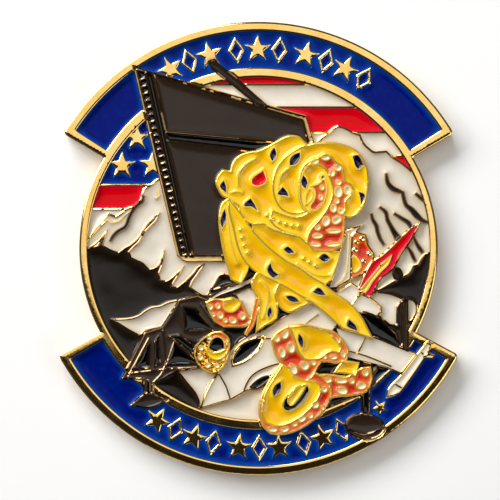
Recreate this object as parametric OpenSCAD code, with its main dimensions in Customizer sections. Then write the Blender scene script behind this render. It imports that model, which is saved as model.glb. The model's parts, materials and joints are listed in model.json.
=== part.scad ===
/* [Coin] */
// Height of the coin over both scrolls
coin_h = 63.5; // [50:0.5:80]
// Thickness of the plain plate under the artwork
base_t = 2.0; // [1.6:0.1:3]
// Height of the outer rim above the plate
rim_h = 0.9; // [0.75:0.05:1.2]
// Depth of the recess in the back
back_recess = 0.25; // [0.1:0.05:0.5]
// Width of the raised rim around the back
back_rim = 1.2; // [0.8:0.1:2]

/* [Relief] */
// Height of the background artwork's metal lines above the plate
field_h = 0.6; // [0.4:0.05:0.7]
// Extra height of the panel, the truss and the aircraft
panel_h = 0.4; // [0.3:0.05:0.6]
// Extra height of the animal
animal_h = 0.75; // [0.5:0.05:0.9]
// How far the enamel lies below the lines around it
enamel_drop = 0.12; // [0.05:0.01:0.2]

/* [Line widths] */
// Metal lines of the background, the panel and the aircraft
line_w = 0.28; // [0.2:0.01:0.35]
// Metal lines around the animal's arms
arm_line = 0.24; // [0.18:0.01:0.3]
// Metal lines around small spots and cracks
fine_line = 0.14; // [0.1:0.01:0.2]

/* [Hidden] */

// The outlines below are drawn at this height and scaled to coin_h
drawn_h = 63.5;
unit = coin_h / drawn_h;
disc_r = 25.1;
field_r = 24;
scroll_r = 31.75;
scroll_in_r = 25.3;
scroll_out_r = 30.5;
top_half_angle = 59.5;
bottom_half_angle = 62;
end_rim_angle = 2.4;
corner_r = 0.6;
least_rim = 0.7;
arc_step = 2;
// Sampling of curves: outlines under small_size across get the finer step
curve_step = 0.95;
fine_step = 0.42;
small_size = 4.5;
large_oval = 1.2;
star_waist = 0.42;

FLOOR = [base_t, base_t + field_h, base_t + field_h + panel_h];
TOP = [FLOOR[1], FLOOR[2], FLOOR[2] + animal_h];

// ---- Outline functions: a point is [x, y], or [x, y, 1] at a sharp corner ----

function xy(p) = [p[0], p[1]];
function sharp_at(p) = len(p) > 2 && p[2] == 1;
function unit_of(v) = norm(v) > 0 ? v / norm(v) : [1, 0];
function hermite(a, b, ta, tb, t) =
    (2 * t * t * t - 3 * t * t + 1) * a + (t * t * t - 2 * t * t + t) * ta
    + (3 * t * t - 2 * t * t * t) * b + (t * t * t - t * t) * tb;

function low(p) = [min([for (q = p) q[0]]), min([for (q = p) q[1]])];
function high(p) = [max([for (q = p) q[0]]), max([for (q = p) q[1]])];
function span(p) = let (size = high(p) - low(p)) max(size[0], size[1]);

// Closed curve through the points, with corners only where they are marked
function smooth(p) = let (step = span(p) < small_size ? fine_step : curve_step) [
    for (i = [0 : len(p) - 1])
        let (n = len(p), a = xy(p[i]), b = xy(p[(i + 1) % n]))
        let (before = xy(p[(i + n - 1) % n]), after = xy(p[(i + 2) % n]), gap = norm(b - a))
        let (ca = sharp_at(p[i]), cb = sharp_at(p[(i + 1) % n]))
        let (ta = ca ? b - a : gap * unit_of(b - before), tb = cb ? b - a : gap * unit_of(after - a))
        let (m = ca && cb ? 1 : max(1, round(gap / step)))
        for (k = [0 : m - 1]) hermite(a, b, ta, tb, k / m)
];

// Open curve through [x, y, width] points, sampled
function path3(p) = [
    for (i = [0 : len(p) - 2])
        let (a = p[i], b = p[i + 1], gap = norm(xy(b - a)))
        let (before = p[max(i - 1, 0)], after = p[min(i + 2, len(p) - 1)])
        let (ta = (b - before) / 2, tb = (after - a) / 2, m = max(1, round(gap / curve_step)))
        for (k = [0 : m - (i == len(p) - 2 ? 0 : 1)]) hermite(a, b, ta, tb, k / m)
];
function turned(v) = [-v[1], v[0]];
function side(q, s) = [
    for (i = [0 : len(q) - 1])
        let (along = unit_of(xy(q[min(i + 1, len(q) - 1)]) - xy(q[max(i - 1, 0)])))
        xy(q[i]) + s * q[i][2] / 2 * turned(along)
];
function reversed(q) = [for (i = [len(q) - 1 : -1 : 0]) q[i]];
function ribbon(p) = let (q = path3(p)) concat(side(q, 1), reversed(side(q, -1)));

// The outline moved outwards by d, with its sharpest tips blunted
tip_limit = 0.5;
function turn_sum(p) =
    let (n = len(p))
    [for (i = [0 : n - 1]) p[i][0] * p[(i + 1) % n][1] - p[(i + 1) % n][0] * p[i][1]] * [for (q = p) 1];
function grown(p, d) = d == 0 ? p : let (n = len(p), out = turn_sum(p) > 0 ? -1 : 1) [
    for (i = [0 : n - 1])
        let (b = xy(p[i]))
        let (n1 = out * turned(unit_of(b - xy(p[(i + n - 1) % n]))))
        let (n2 = out * turned(unit_of(xy(p[(i + 1) % n]) - b)))
        let (m = unit_of(n1 + n2))
        b + d / max(tip_limit, m * n1) * m
];

function rotated(p, a) = [for (q = p) [q[0] * cos(a) - q[1] * sin(a), q[0] * sin(a) + q[1] * cos(a)]];
function moved(p, x, y) = [for (q = p) [q[0] + x, q[1] + y]];
function arc(r, a0, a1) =
    let (m = max(1, ceil(abs(a1 - a0) / arc_step)))
    [for (k = [0 : m]) let (a = a0 + (a1 - a0) * k / m) [r * cos(a), r * sin(a)]];
function sector(r0, r1, a0, a1) = concat(arc(r1, a0, a1), reversed(arc(r0, a0, a1)));
function box(x0, y0, x1, y1) = [[x0, y0], [x1, y0], [x1, y1], [x0, y1]];
function oval(x, y, rx, ry, tilt = 0) =
    let (m = max(rx, ry) > large_oval ? 30 : 12)
    moved(rotated([for (k = [0 : m - 1]) [rx * cos(360 * k / m), ry * sin(360 * k / m)]], tilt), x, y);
function leaf(x, y, length, width, tilt) =
    moved(rotated(smooth([
        [-length / 2, 0, 1], [-length / 5, width / 2], [length / 5, width / 2.2],
        [length / 2, 0, 1], [length / 5, -width / 2.2], [-length / 5, -width / 2],
    ]), tilt), x, y);
function star(x, y, r, tilt = 90) =
    moved(rotated([
        for (k = [0 : 9]) let (s = k % 2 == 0 ? r : r * star_waist, a = 36 * k) [s * cos(a), s * sin(a)]
    ], tilt), x, y);

// ---- Scroll ornament: groups of stars and lozenges that follow the arc ----

ornament_r = 27.95;
TOP_MOTIFS = [116.2, 110.2, 104.2, 96.4, 90.2, 84, 76.2, 70.2, 64.2, 58.2];
BOTTOM_MOTIFS = [239.5, 245.3, 251.1, 256.9, 264.4, 270.2, 276, 283, 288.8, 294.6];
star_r = 1.95;
lozenge_w = 2.3;
lozenge_h = 3.7;
lozenge_wall = 0.42;
function lozenge(w, h, c, up) =
    moved(rotated([[h / 2, 0], [0, w / 2], [-h / 2, 0], [0, -w / 2]], up), c[0], c[1]);
function motif(star_turn, c, up, scroll) = star_turn
    ? [["coin_body", 0, 0, star(c[0], c[1], star_r, up)]]
    : [
        ["coin_body", 0, 0, lozenge(lozenge_w, lozenge_h, c, up)],
        [scroll, 0, 0, lozenge(lozenge_w - 2 * lozenge_wall, lozenge_h - 3 * lozenge_wall, c, up)],
    ];
function motifs(angles, facing, scroll) = [
    for (i = [0 : len(angles) - 1])
        let (a = angles[i])
        each motif(i % 2 == 0, ornament_r * [cos(a), sin(a)], facing > 0 ? a : a + 180, scroll)
];

// ---- Artwork from back to front: [node, level, line width, outline] ----
// The node "coin_body" marks bare metal. Distances are in mm from the middle of the disc.

// Inside the disc only
FIELD = [
    ["upper_red_stripe", 0, line_w, box(-10, 23, 10, 26)],
    ["upper_white_stripe", 0, line_w, box(-14, 19.8, 16, 23)],
    ["middle_red_stripe", 0, line_w, box(2, 16.3, 20, 19.8)],
    ["middle_white_stripe", 0, line_w, box(6, 13, 24, 16.3)],
    ["right_red_stripe", 0, line_w, box(15, 9, 25, 13)],
    ["canton_enamel", 0, line_w, box(-26, 8.9, -9, 26)],
    ["left_red_stripe", 0, line_w, box(-26, 5.5, -9, 8.9)],
    ["left_white_stripe", 0, line_w, box(-26, -3, -9, 5.5)],
    ["coin_body", 0, 0, star(-17, 15.5, 1.85)],
    ["coin_body", 0, 0, star(-19.1, 11.6, 2.0)],
    ["coin_body", 0, 0, star(-14.8, 11.7, 2.0)],
    ["left_rock_enamel", 0, line_w, [
        [-26, -26], [0, -26], [0, 6], [-13, 6], [-21, 3], [-22.6, 0.3], [-26, -0.4],
    ]],
    ["right_rock_enamel", 0, line_w, box(0, -26, 26, 5)],
    ["left_snow_enamel", 0, line_w, smooth([
        [-24.6, 0.4, 1], [-23.6, 1.6], [-23, 2.7], [-22.1, 3.7], [-21.05, 4.85, 1], [-20, 4.45],
        [-19.3, 4.9], [-18.5, 5.55], [-17.1, 6], [-16.6, 6.65], [-16.3, 7.55], [-16.1, 8.3],
        [-15, 9], [-14, 9.7, 1], [-9, 9.7, 1], [-3.5, 0, 1], [-3.2, -3.9, 1], [-4.9, -3.6],
        [-5.6, -3.9], [-6.5, -5.4], [-7.5, -6.7], [-8.6, -6.2], [-9.6, -5.5], [-8.7, -3.8],
        [-7.5, -2.1, 1], [-8.55, -2.7], [-9.25, -3.55], [-10.5, -4.8], [-11.4, -5.5], [-12.1, -5.4],
        [-11.5, -4.1], [-10.6, -2.6, 1], [-11.5, -3.6], [-12.9, -4.6], [-13.8, -4.5], [-14, -3.7],
        [-13.5, -2.2], [-13.3, -0.5, 1], [-14, -2.3], [-15.4, -2.95], [-16.4, -2], [-17.9, -1.3],
        [-18.2, -0.5], [-16.9, 0.8], [-15.8, 2.5], [-14.4, 3.95], [-14, 4.8, 1], [-15.6, 3.4],
        [-16.7, 1.7], [-17.9, 0.5], [-18.8, 0], [-19.6, -0.6], [-21.2, 0], [-21.9, 0.4],
        [-21.3, 2.5, 1], [-22.1, 1.4], [-24.6, -0.7, 1],
    ])],
    ["coin_body", 0, 0, ribbon([
        [-23.5, 1.6, 0.16], [-22.35, 2.9, 0.2], [-21.1, 4.1, 0.24], [-20.6, 3.6, 0.22],
        [-19.7, 3.8, 0.2], [-18.8, 4.5, 0.18], [-17.8, 5.3, 0.14],
    ])],
    ["mountain_cracks", 0, fine_line, ribbon([
        [-16.1, 7.4, 0.3], [-16.3, 6.6, 0.42], [-17, 6, 0.46], [-17.6, 5.3, 0.48],
        [-18.1, 4.3, 0.52], [-18.6, 3.05, 0.54], [-19.7, 2.35, 0.5], [-20.3, 1.8, 0.44],
        [-20.8, 1, 0.3],
    ])],
    ["coin_body", 0, 0, ribbon([[-14, 8.2, 0.16], [-13.9, 7.4, 0.22], [-14.4, 7, 0.16]])],
    ["left_foreground_snow", 0, line_w, smooth([
        [-20.4, -10, 1], [-17.9, -9.8], [-16.7, -9.4], [-15.9, -8.8], [-15, -8.3], [-13.8, -8.1],
        [-12.7, -7.6], [-11.1, -7.2, 1], [-13.5, -11, 1], [-16, -11.6, 1], [-16.7, -12.2, 1],
        [-18.2, -11.4], [-19.3, -10.7],
    ])],
    ["coin_body", 0, 0, ribbon([
        [-11.2, -7.2, 0.3], [-9.6, -6.9, 0.3], [-8, -6.7, 0.28], [-6.2, -6.4, 0.24],
    ])],
    ["nose_ground_snow", 0, line_w, smooth([
        [-11.3, -17.2, 1], [-9.9, -19], [-8.8, -20.4], [-8.2, -22.4], [-8.9, -26, 1],
        [2, -26, 1], [2, -16, 1], [-6, -14, 1],
    ])],
    ["right_snow_enamel", 0, line_w, smooth([
        [5, 0, 1], [6.5, 12, 1], [8.4, 15], [9.8, 16.2], [11.2, 17.15], [13.1, 16.3],
        [14.2, 15.9, 1], [14.6, 14.9], [16.2, 13.5], [17.9, 13.6], [18.9, 12.7], [20, 12],
        [22, 10.4], [25, 8.6, 1], [25, -0.4, 1], [23.2, -0.9], [22.3, -2.2, 1], [21.6, -2.4],
        [21.1, -3.3], [20.3, -3.9], [19.8, -2.9], [19, -2.5], [18.9, -3.8], [19.2, -4.4],
        [18.1, -5.05], [16.9, -5.7, 1], [12, -7, 1],
    ])],
    ["mountain_cracks", 0, fine_line, ribbon([
        [17.9, 10.5, 0.3], [18.15, 9.2, 0.6], [18.75, 8.45, 0.7], [19.6, 8.05, 0.6],
        [20.2, 7.8, 0.5], [20.4, 6.9, 0.5], [20.7, 6.1, 0.55], [21.4, 5.5, 0.7], [22.2, 4.6, 0.8],
        [23, 3.9, 0.6], [23.8, 3.6, 0.3],
    ])],
    ["mountain_cracks", 0, fine_line, ribbon([[22, 7.7, 0.34], [22.7, 7.1, 0.46], [23.3, 6.5, 0.34]])],
    ["mountain_cracks", 0, fine_line, ribbon([
        [15.8, 4.9, 0.34], [16, 4.1, 0.46], [16.5, 3.2, 0.54], [16.7, 2.3, 0.5], [17.1, 1.3, 0.46],
        [17.6, 0.5, 0.34],
    ])],
    ["mountain_cracks", 0, fine_line, ribbon([
        [17, 5.8, 0.34], [17.8, 5.1, 0.5], [18.1, 4, 0.54], [18.5, 3.2, 0.56], [19, 2.3, 0.7],
        [19.5, 1.5, 0.9],
    ])],
    ["mountain_cracks", 0, fine_line, ribbon([
        [19, 4.9, 0.36], [20.1, 4.2, 0.5], [21.1, 3.5, 0.6], [21.6, 2.6, 0.4],
    ])],
    ["mountain_cracks", 0, fine_line, ribbon([
        [21.6, 1.9, 0.32], [22.1, 0.8, 0.46], [22.8, -0.3, 0.5], [23, -0.6, 0.4],
    ])],
    ["mountain_cracks", 0, fine_line, ribbon([
        [20.7, 0.4, 0.32], [21.3, -0.4, 0.46], [21.7, -1.2, 0.46], [22, -1.8, 0.34],
    ])],
    ["right_foreground_snow", 0, line_w, smooth([
        [15.2, -6.9, 1], [16.2, -6.2], [18.4, -6.35], [20.4, -7.1, 1], [19.6, -7.9], [19.4, -10.8, 1],
        [18.4, -10.7, 1], [17, -9.55, 1], [17, -8.3, 1],
    ])],
    ["right_foreground_snow", 0, line_w, smooth([
        [20.6, -7.2, 1], [21.6, -7.2], [22.2, -8.2], [21.7, -9.7], [20.9, -10.4, 1],
    ])],
];

// The two scrolls
SCROLLS = concat(
    [
        ["top_scroll_enamel", 0, 0, sector(scroll_in_r, scroll_out_r,
            90 - top_half_angle + end_rim_angle, 90 + top_half_angle - end_rim_angle)],
        ["bottom_scroll_enamel", 0, 0, sector(scroll_in_r, scroll_out_r,
            270 - bottom_half_angle + end_rim_angle, 270 + bottom_half_angle - end_rim_angle)],
    ],
    motifs(TOP_MOTIFS, 1, "top_scroll_enamel"),
    motifs(BOTTOM_MOTIFS, -1, "bottom_scroll_enamel"),
    [["coin_body", 0, 0, star(17, -22.3, 1.15, 120)]]
);

tooth_count = 25;
function mast_tooth(k) =
    let (t = (k + 0.8) / (tooth_count + 0.6), w = 0.62 - 0.2 * t)
    moved(rotated(box(-w / 2, -0.15, w / 2, 0.15), 14), -16.42 + 6.0 * t, 24.5 - 25.2 * t);

// The slatted panel, its mast and its rod
PANEL = concat(
    [["coin_body", 1, 0, smooth([
        [-17.6, 25.5, 1], [-14.85, 24.75, 1], [-9, -0.5, 1], [3, -1.1, 1], [3, -1.75, 1],
        [-8.5, -1.85, 1], [-10.3, -1.8], [-11.4, -1, 1],
    ])]],
    [["mast_tooth_band", 1, 0, [[-16.88, 25], [-15.98, 24.8], [-10.2, -0.75], [-10.75, -0.85]]]],
    [for (k = [0 : tooth_count - 1]) ["coin_body", 1, 0, mast_tooth(k)]],
    [
        ["mast_inner_band", 1, line_w, [[-15.85, 24.75], [-14.9, 24.55], [-9.3, -0.9], [-10.1, -0.9]]],
        ["coin_body", 1, 0, [
            [-14.95, 24.8], [1, 20.2], [6.7, 18.65], [7.85, 14.6], [-13.1, 15.9],
        ]],
        ["panel_gap_enamel", 1, line_w, [
            [-13.05, 16.25], [3.5, 14.8], [3.5, 13], [-0.2, 13.5], [-12.8, 15.05],
        ]],
        ["upper_panel_enamel", 1, line_w, [
            [-14.5, 24.1], [6.2, 17.95], [7, 14.8], [2.2, 14.95], [-12.9, 16.35],
        ]],
        ["lower_panel_enamel", 1, line_w, [[-12.85, 15.05], [-0.2, 13.5], [3, 13], [3, -1], [-9.2, -1]]],
        ["antenna_rod_enamel", 1, 0.2, [
            [-6.9, 26], [-6.1, 26.25], [-3.15, 23.95], [-0.9, 21.85], [1.3, 20], [-0.4, 20.35],
            [-1.72, 21.37], [-4.18, 23.37], [-6.7, 25.4],
        ]],
    ]
);

// The truss and its legs
TRUSS = [
    ["left_foot_pad", 1, line_w, smooth([
        [-17.8, -21.9, 1], [-16.7, -20.9], [-15.6, -20.1], [-14.2, -20.5], [-12.9, -21.1, 1],
        [-14, -21.9], [-15.6, -22.3],
    ])],
    ["truss_enamel", 1, line_w, [
        [-11.1, -7.2], [-8.5, -6.6], [-5, -8], [-5, -12.5], [-8.3, -13], [-8.4, -16.8],
        [-11.3, -17.1], [-14.8, -19.1], [-14.8, -20.3], [-16.1, -20.3], [-16.1, -18.2],
        [-19.1, -18.2], [-15.9, -11.8], [-13.5, -11],
    ]],
    ["coin_body", 1, 0, ribbon([[-13.4, -11.3, 0.24], [-13.1, -16.4, 0.24], [-14.9, -18.9, 0.24]])],
    ["coin_body", 1, 0, ribbon([[-15.3, -12.4, 0.24], [-18.3, -18, 0.24]])],
    ["coin_body", 1, 0, ribbon([[-15.4, -18.3, 0.5], [-15.4, -20.3, 0.5]])],
    ["coin_body", 1, 0, ribbon([[-18.4, -17.5, 0.22], [-13.2, -16.9, 0.22], [-8.4, -16.6, 0.22]])],
    ["truss_windows", 1, 0.22, [[-15.1, -13], [-15.4, -16.8], [-17.5, -16.9]]],
    ["truss_windows", 1, 0.22, [[-11.8, -13], [-12.9, -16.3], [-8.4, -16.1], [-9, -15.5]]],
    ["truss_windows", 1, 0.22, [[-10.6, -8.1], [-8.8, -8.4], [-6.4, -11.4], [-10.3, -11.5]]],
    ["truss_windows", 1, 0.22, [[-7.9, -7.9], [-6.1, -10.5], [-6.3, -8.6]]],
    ["truss_windows", 1, 0.22, [[-10.2, -12.6], [-8.5, -13.2], [-8.5, -14.4]]],
    ["truss_windows", 1, 0.22, [[-14.5, -13], [-13.9, -12.2], [-13.8, -15.9], [-14.5, -16.5]]],
    ["truss_windows", 1, 0.22, [[-12.4, -12.3], [-11, -12.1], [-9, -13.8], [-9.2, -14.8]]],
    ["truss_enamel", 1, 0.22, [[20.1, -7.4], [20.9, -7.4], [20.9, -14.6], [20.1, -14.6]]],
    ["truss_windows", 1, 0.22, [
        [13, -8.2], [17, -9.7], [19.3, -12], [20, -14.2], [16.5, -12.4], [12, -10],
    ]],
    ["truss_windows", 1, 0.22, [
        [9.5, -20.9], [13, -16.3], [16.6, -17.2], [14.6, -19.4], [14.2, -20.4], [9.6, -22.3],
    ]],
    ["right_leg_enamel", 1, line_w, [
        [18.5, -16.9], [15.5, -19.7], [15.5, -24], [14.4, -24], [14.4, -19.6], [16.6, -16.5],
    ]],
    ["right_foot_pad", 1, line_w, oval(14.9, -24.9, 2.7, 1.75, -6)],
    ["coin_body", 1, 0, ribbon([[12.6, -25.3, 0.2], [14.8, -26, 0.24], [17.2, -25.3, 0.2]])],
];

// The aircraft
JET = [
    ["hook_arm_orange", 1, arm_line, smooth([
        [12.6, -4.4, 1], [12.6, 1], [13.6, 2.3], [14.9, 1.9], [15.3, 0.5], [16.1, -0.9],
        [15.6, -2.3], [14.4, -3.6],
    ])],
    ["hook_arm_yellow", 1, 0.18, smooth([
        [13.1, -3.2, 1], [13.1, -1], [13.9, -1.5], [14.3, -2.6], [13.6, -3.3],
    ])],
    ["coin_body", 1, 0, oval(14.5, 1.35, 0.4, 0.36)],
    ["coin_body", 1, 0, oval(13.55, -0.15, 0.36, 0.34)],
    ["coin_body", 1, 0, oval(15.5, -0.75, 0.32, 0.32)],
    ["coin_body", 1, 0, oval(14.75, -1.8, 0.32, 0.3)],
    ["coin_body", 1, 0, oval(13.7, 0.9, 0.3, 0.3)],
    ["flame_red_enamel", 1, line_w, smooth([
        [22.6, 3.6, 1], [21.1, 2.7], [18.5, 0.2], [17.1, -1.05], [15.9, -1.8], [15, -3.3],
        [14, -5.6, 1], [14.7, -6.9, 1], [15.9, -6.5], [16.5, -5.3], [17.2, -4.1], [18.1, -3.5],
        [19.1, -2.4], [19.9, -0.8], [20.9, 0.5], [21.9, 2.2],
    ])],
    ["flame_core_enamel", 1, 0.2, smooth([
        [18.6, -1, 1], [17.5, -1.9], [15.6, -4.1], [14.4, -5.6, 1], [14.8, -6.3], [15.8, -4.8],
        [17.2, -3.1], [18.1, -2.2],
    ])],
    ["jet_left_wing_enamel", 1, line_w, smooth([
        [-3.3, -6.4, 1], [-1.3, -5.5, 1], [0.4, -6.7, 1], [0, -9.5, 1], [-1.3, -9.8, 1], [-2.3, -8],
    ])],
    ["coin_body", 1, 0, ribbon([[-6.8, -5.9, 0.3], [-4.8, -5.3, 0.36], [-2.7, -4.6, 0.36]])],
    ["slim_missile", 1, 0.2, ribbon([
        [-7.4, -7.6, 0.2], [-5.4, -6.3, 0.6], [-2.8, -5.3, 0.66], [-1.2, -4.5, 0.62], [-0.2, -3.8, 0.5],
    ])],
    ["jet_tail_enamel", 1, line_w, smooth([
        [12.4, -7.9, 1], [14.4, -6.4, 1], [15.4, -6.8], [17.1, -8.2], [17.1, -8.9], [16.5, -9.5, 1],
        [14.7, -8.9], [13, -9.4, 1],
    ])],
    ["jet_fuselage_enamel", 1, line_w, smooth([
        [-8, -22.3, 1], [-7.55, -20.8], [-6.65, -18.9], [-5.4, -16.9], [-4.2, -14.6], [-2.7, -13],
        [-0.9, -12], [0.7, -11.5, 1], [2.5, -10.2], [7, -7.7], [10.7, -6.2], [13, -4.9, 1],
        [14.4, -5.8, 1], [13, -8, 1], [10.8, -11, 1], [9, -13.2], [6, -15.2], [3.5, -16.6],
        [1.8, -17.8], [0.2, -18.9], [-1.3, -19.7], [-2.6, -20.4], [-3.8, -21.1], [-6, -21.7],
    ])],
    ["jet_fin_enamel", 1, line_w, smooth([
        [9.9, -5.6, 1], [12.2, 2.5, 1], [14.4, 3.2, 1], [13.1, 1.9, 1], [12.9, -4.3, 1], [10.9, -5.5, 1],
    ])],
    ["coin_body", 1, 0, ribbon([[10.8, -5, 0.2], [12.2, -3.6, 0.2], [12.6, 2.2, 0.2]])],
    ["jet_right_wing_enamel", 1, line_w, smooth([
        [10.7, -11, 1], [14.2, -12], [16.4, -12.5], [18.4, -13.3], [22.1, -14.8, 1], [19.9, -17.5, 1],
        [18, -16.7], [15.7, -16.1], [12.3, -15.3, 1], [11.7, -13.6], [11.2, -12.2],
    ])],
    ["coin_body", 1, 0, ribbon([[12.5, -14.3, 0.2], [15.2, -15.1, 0.2], [18.6, -16.5, 0.2]])],
    ["coin_body", 1, 0, ribbon([[15.1, -12.3, 0.18], [13.9, -14.6, 0.18]])],
    ["coin_body", 1, 0, [[22.9, -14.1], [24.7, -14.9], [24.4, -15.4], [22.6, -15.3]]],
    ["wing_tip_missile", 1, 0.24, smooth([
        [23.8, -12.9, 1], [24.2, -13.4], [23.3, -15], [20.4, -19.2], [19.3, -20.4], [18, -20.8, 1],
        [18.3, -19.5], [19.8, -17.9], [22.6, -14.3],
    ])],
    ["coin_body", 1, 0, ribbon([[22.5, -14.3, 0.2], [23.1, -14.8, 0.2]])],
    ["coin_body", 1, 0, ribbon([[19, -18.9, 0.2], [20, -19.5, 0.2]])],
    ["jet_nose_enamel", 1, 0.2, smooth([
        [-8, -22.3, 1], [-7.55, -20.8], [-6.65, -18.9], [-5.6, -17.5, 1], [-4.6, -19.2],
        [-3.95, -21.15, 1], [-6, -21.7],
    ])],
    ["jet_intake_enamel", 1, 0.2, smooth([
        [-1.4, -19.65, 1], [-0.5, -18.7], [0.6, -18], [1.6, -17.8, 1], [1.3, -18.6], [0.6, -19.3],
        [-0.3, -19.7],
    ])],
    ["coin_body", 1, 0, ribbon([[-2.2, -20.2, 0.2], [-1, -17.9, 0.2], [1.2, -16.6, 0.2], [3.4, -16, 0.2]])],
    ["jet_canopy_enamel", 1, 0.34, smooth([
        [-3.6, -16.4, 1], [-3.7, -15.2], [-2.7, -13.7], [-1.2, -12.8], [0.8, -12.3, 1],
        [0.1, -13.9], [-1, -15.1], [-2.3, -16],
    ])],
    ["coin_body", 1, 0, ribbon([[0.9, -12.6, 0.2], [4, -12.2, 0.2], [8.4, -9.2, 0.2]])],
];

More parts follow.
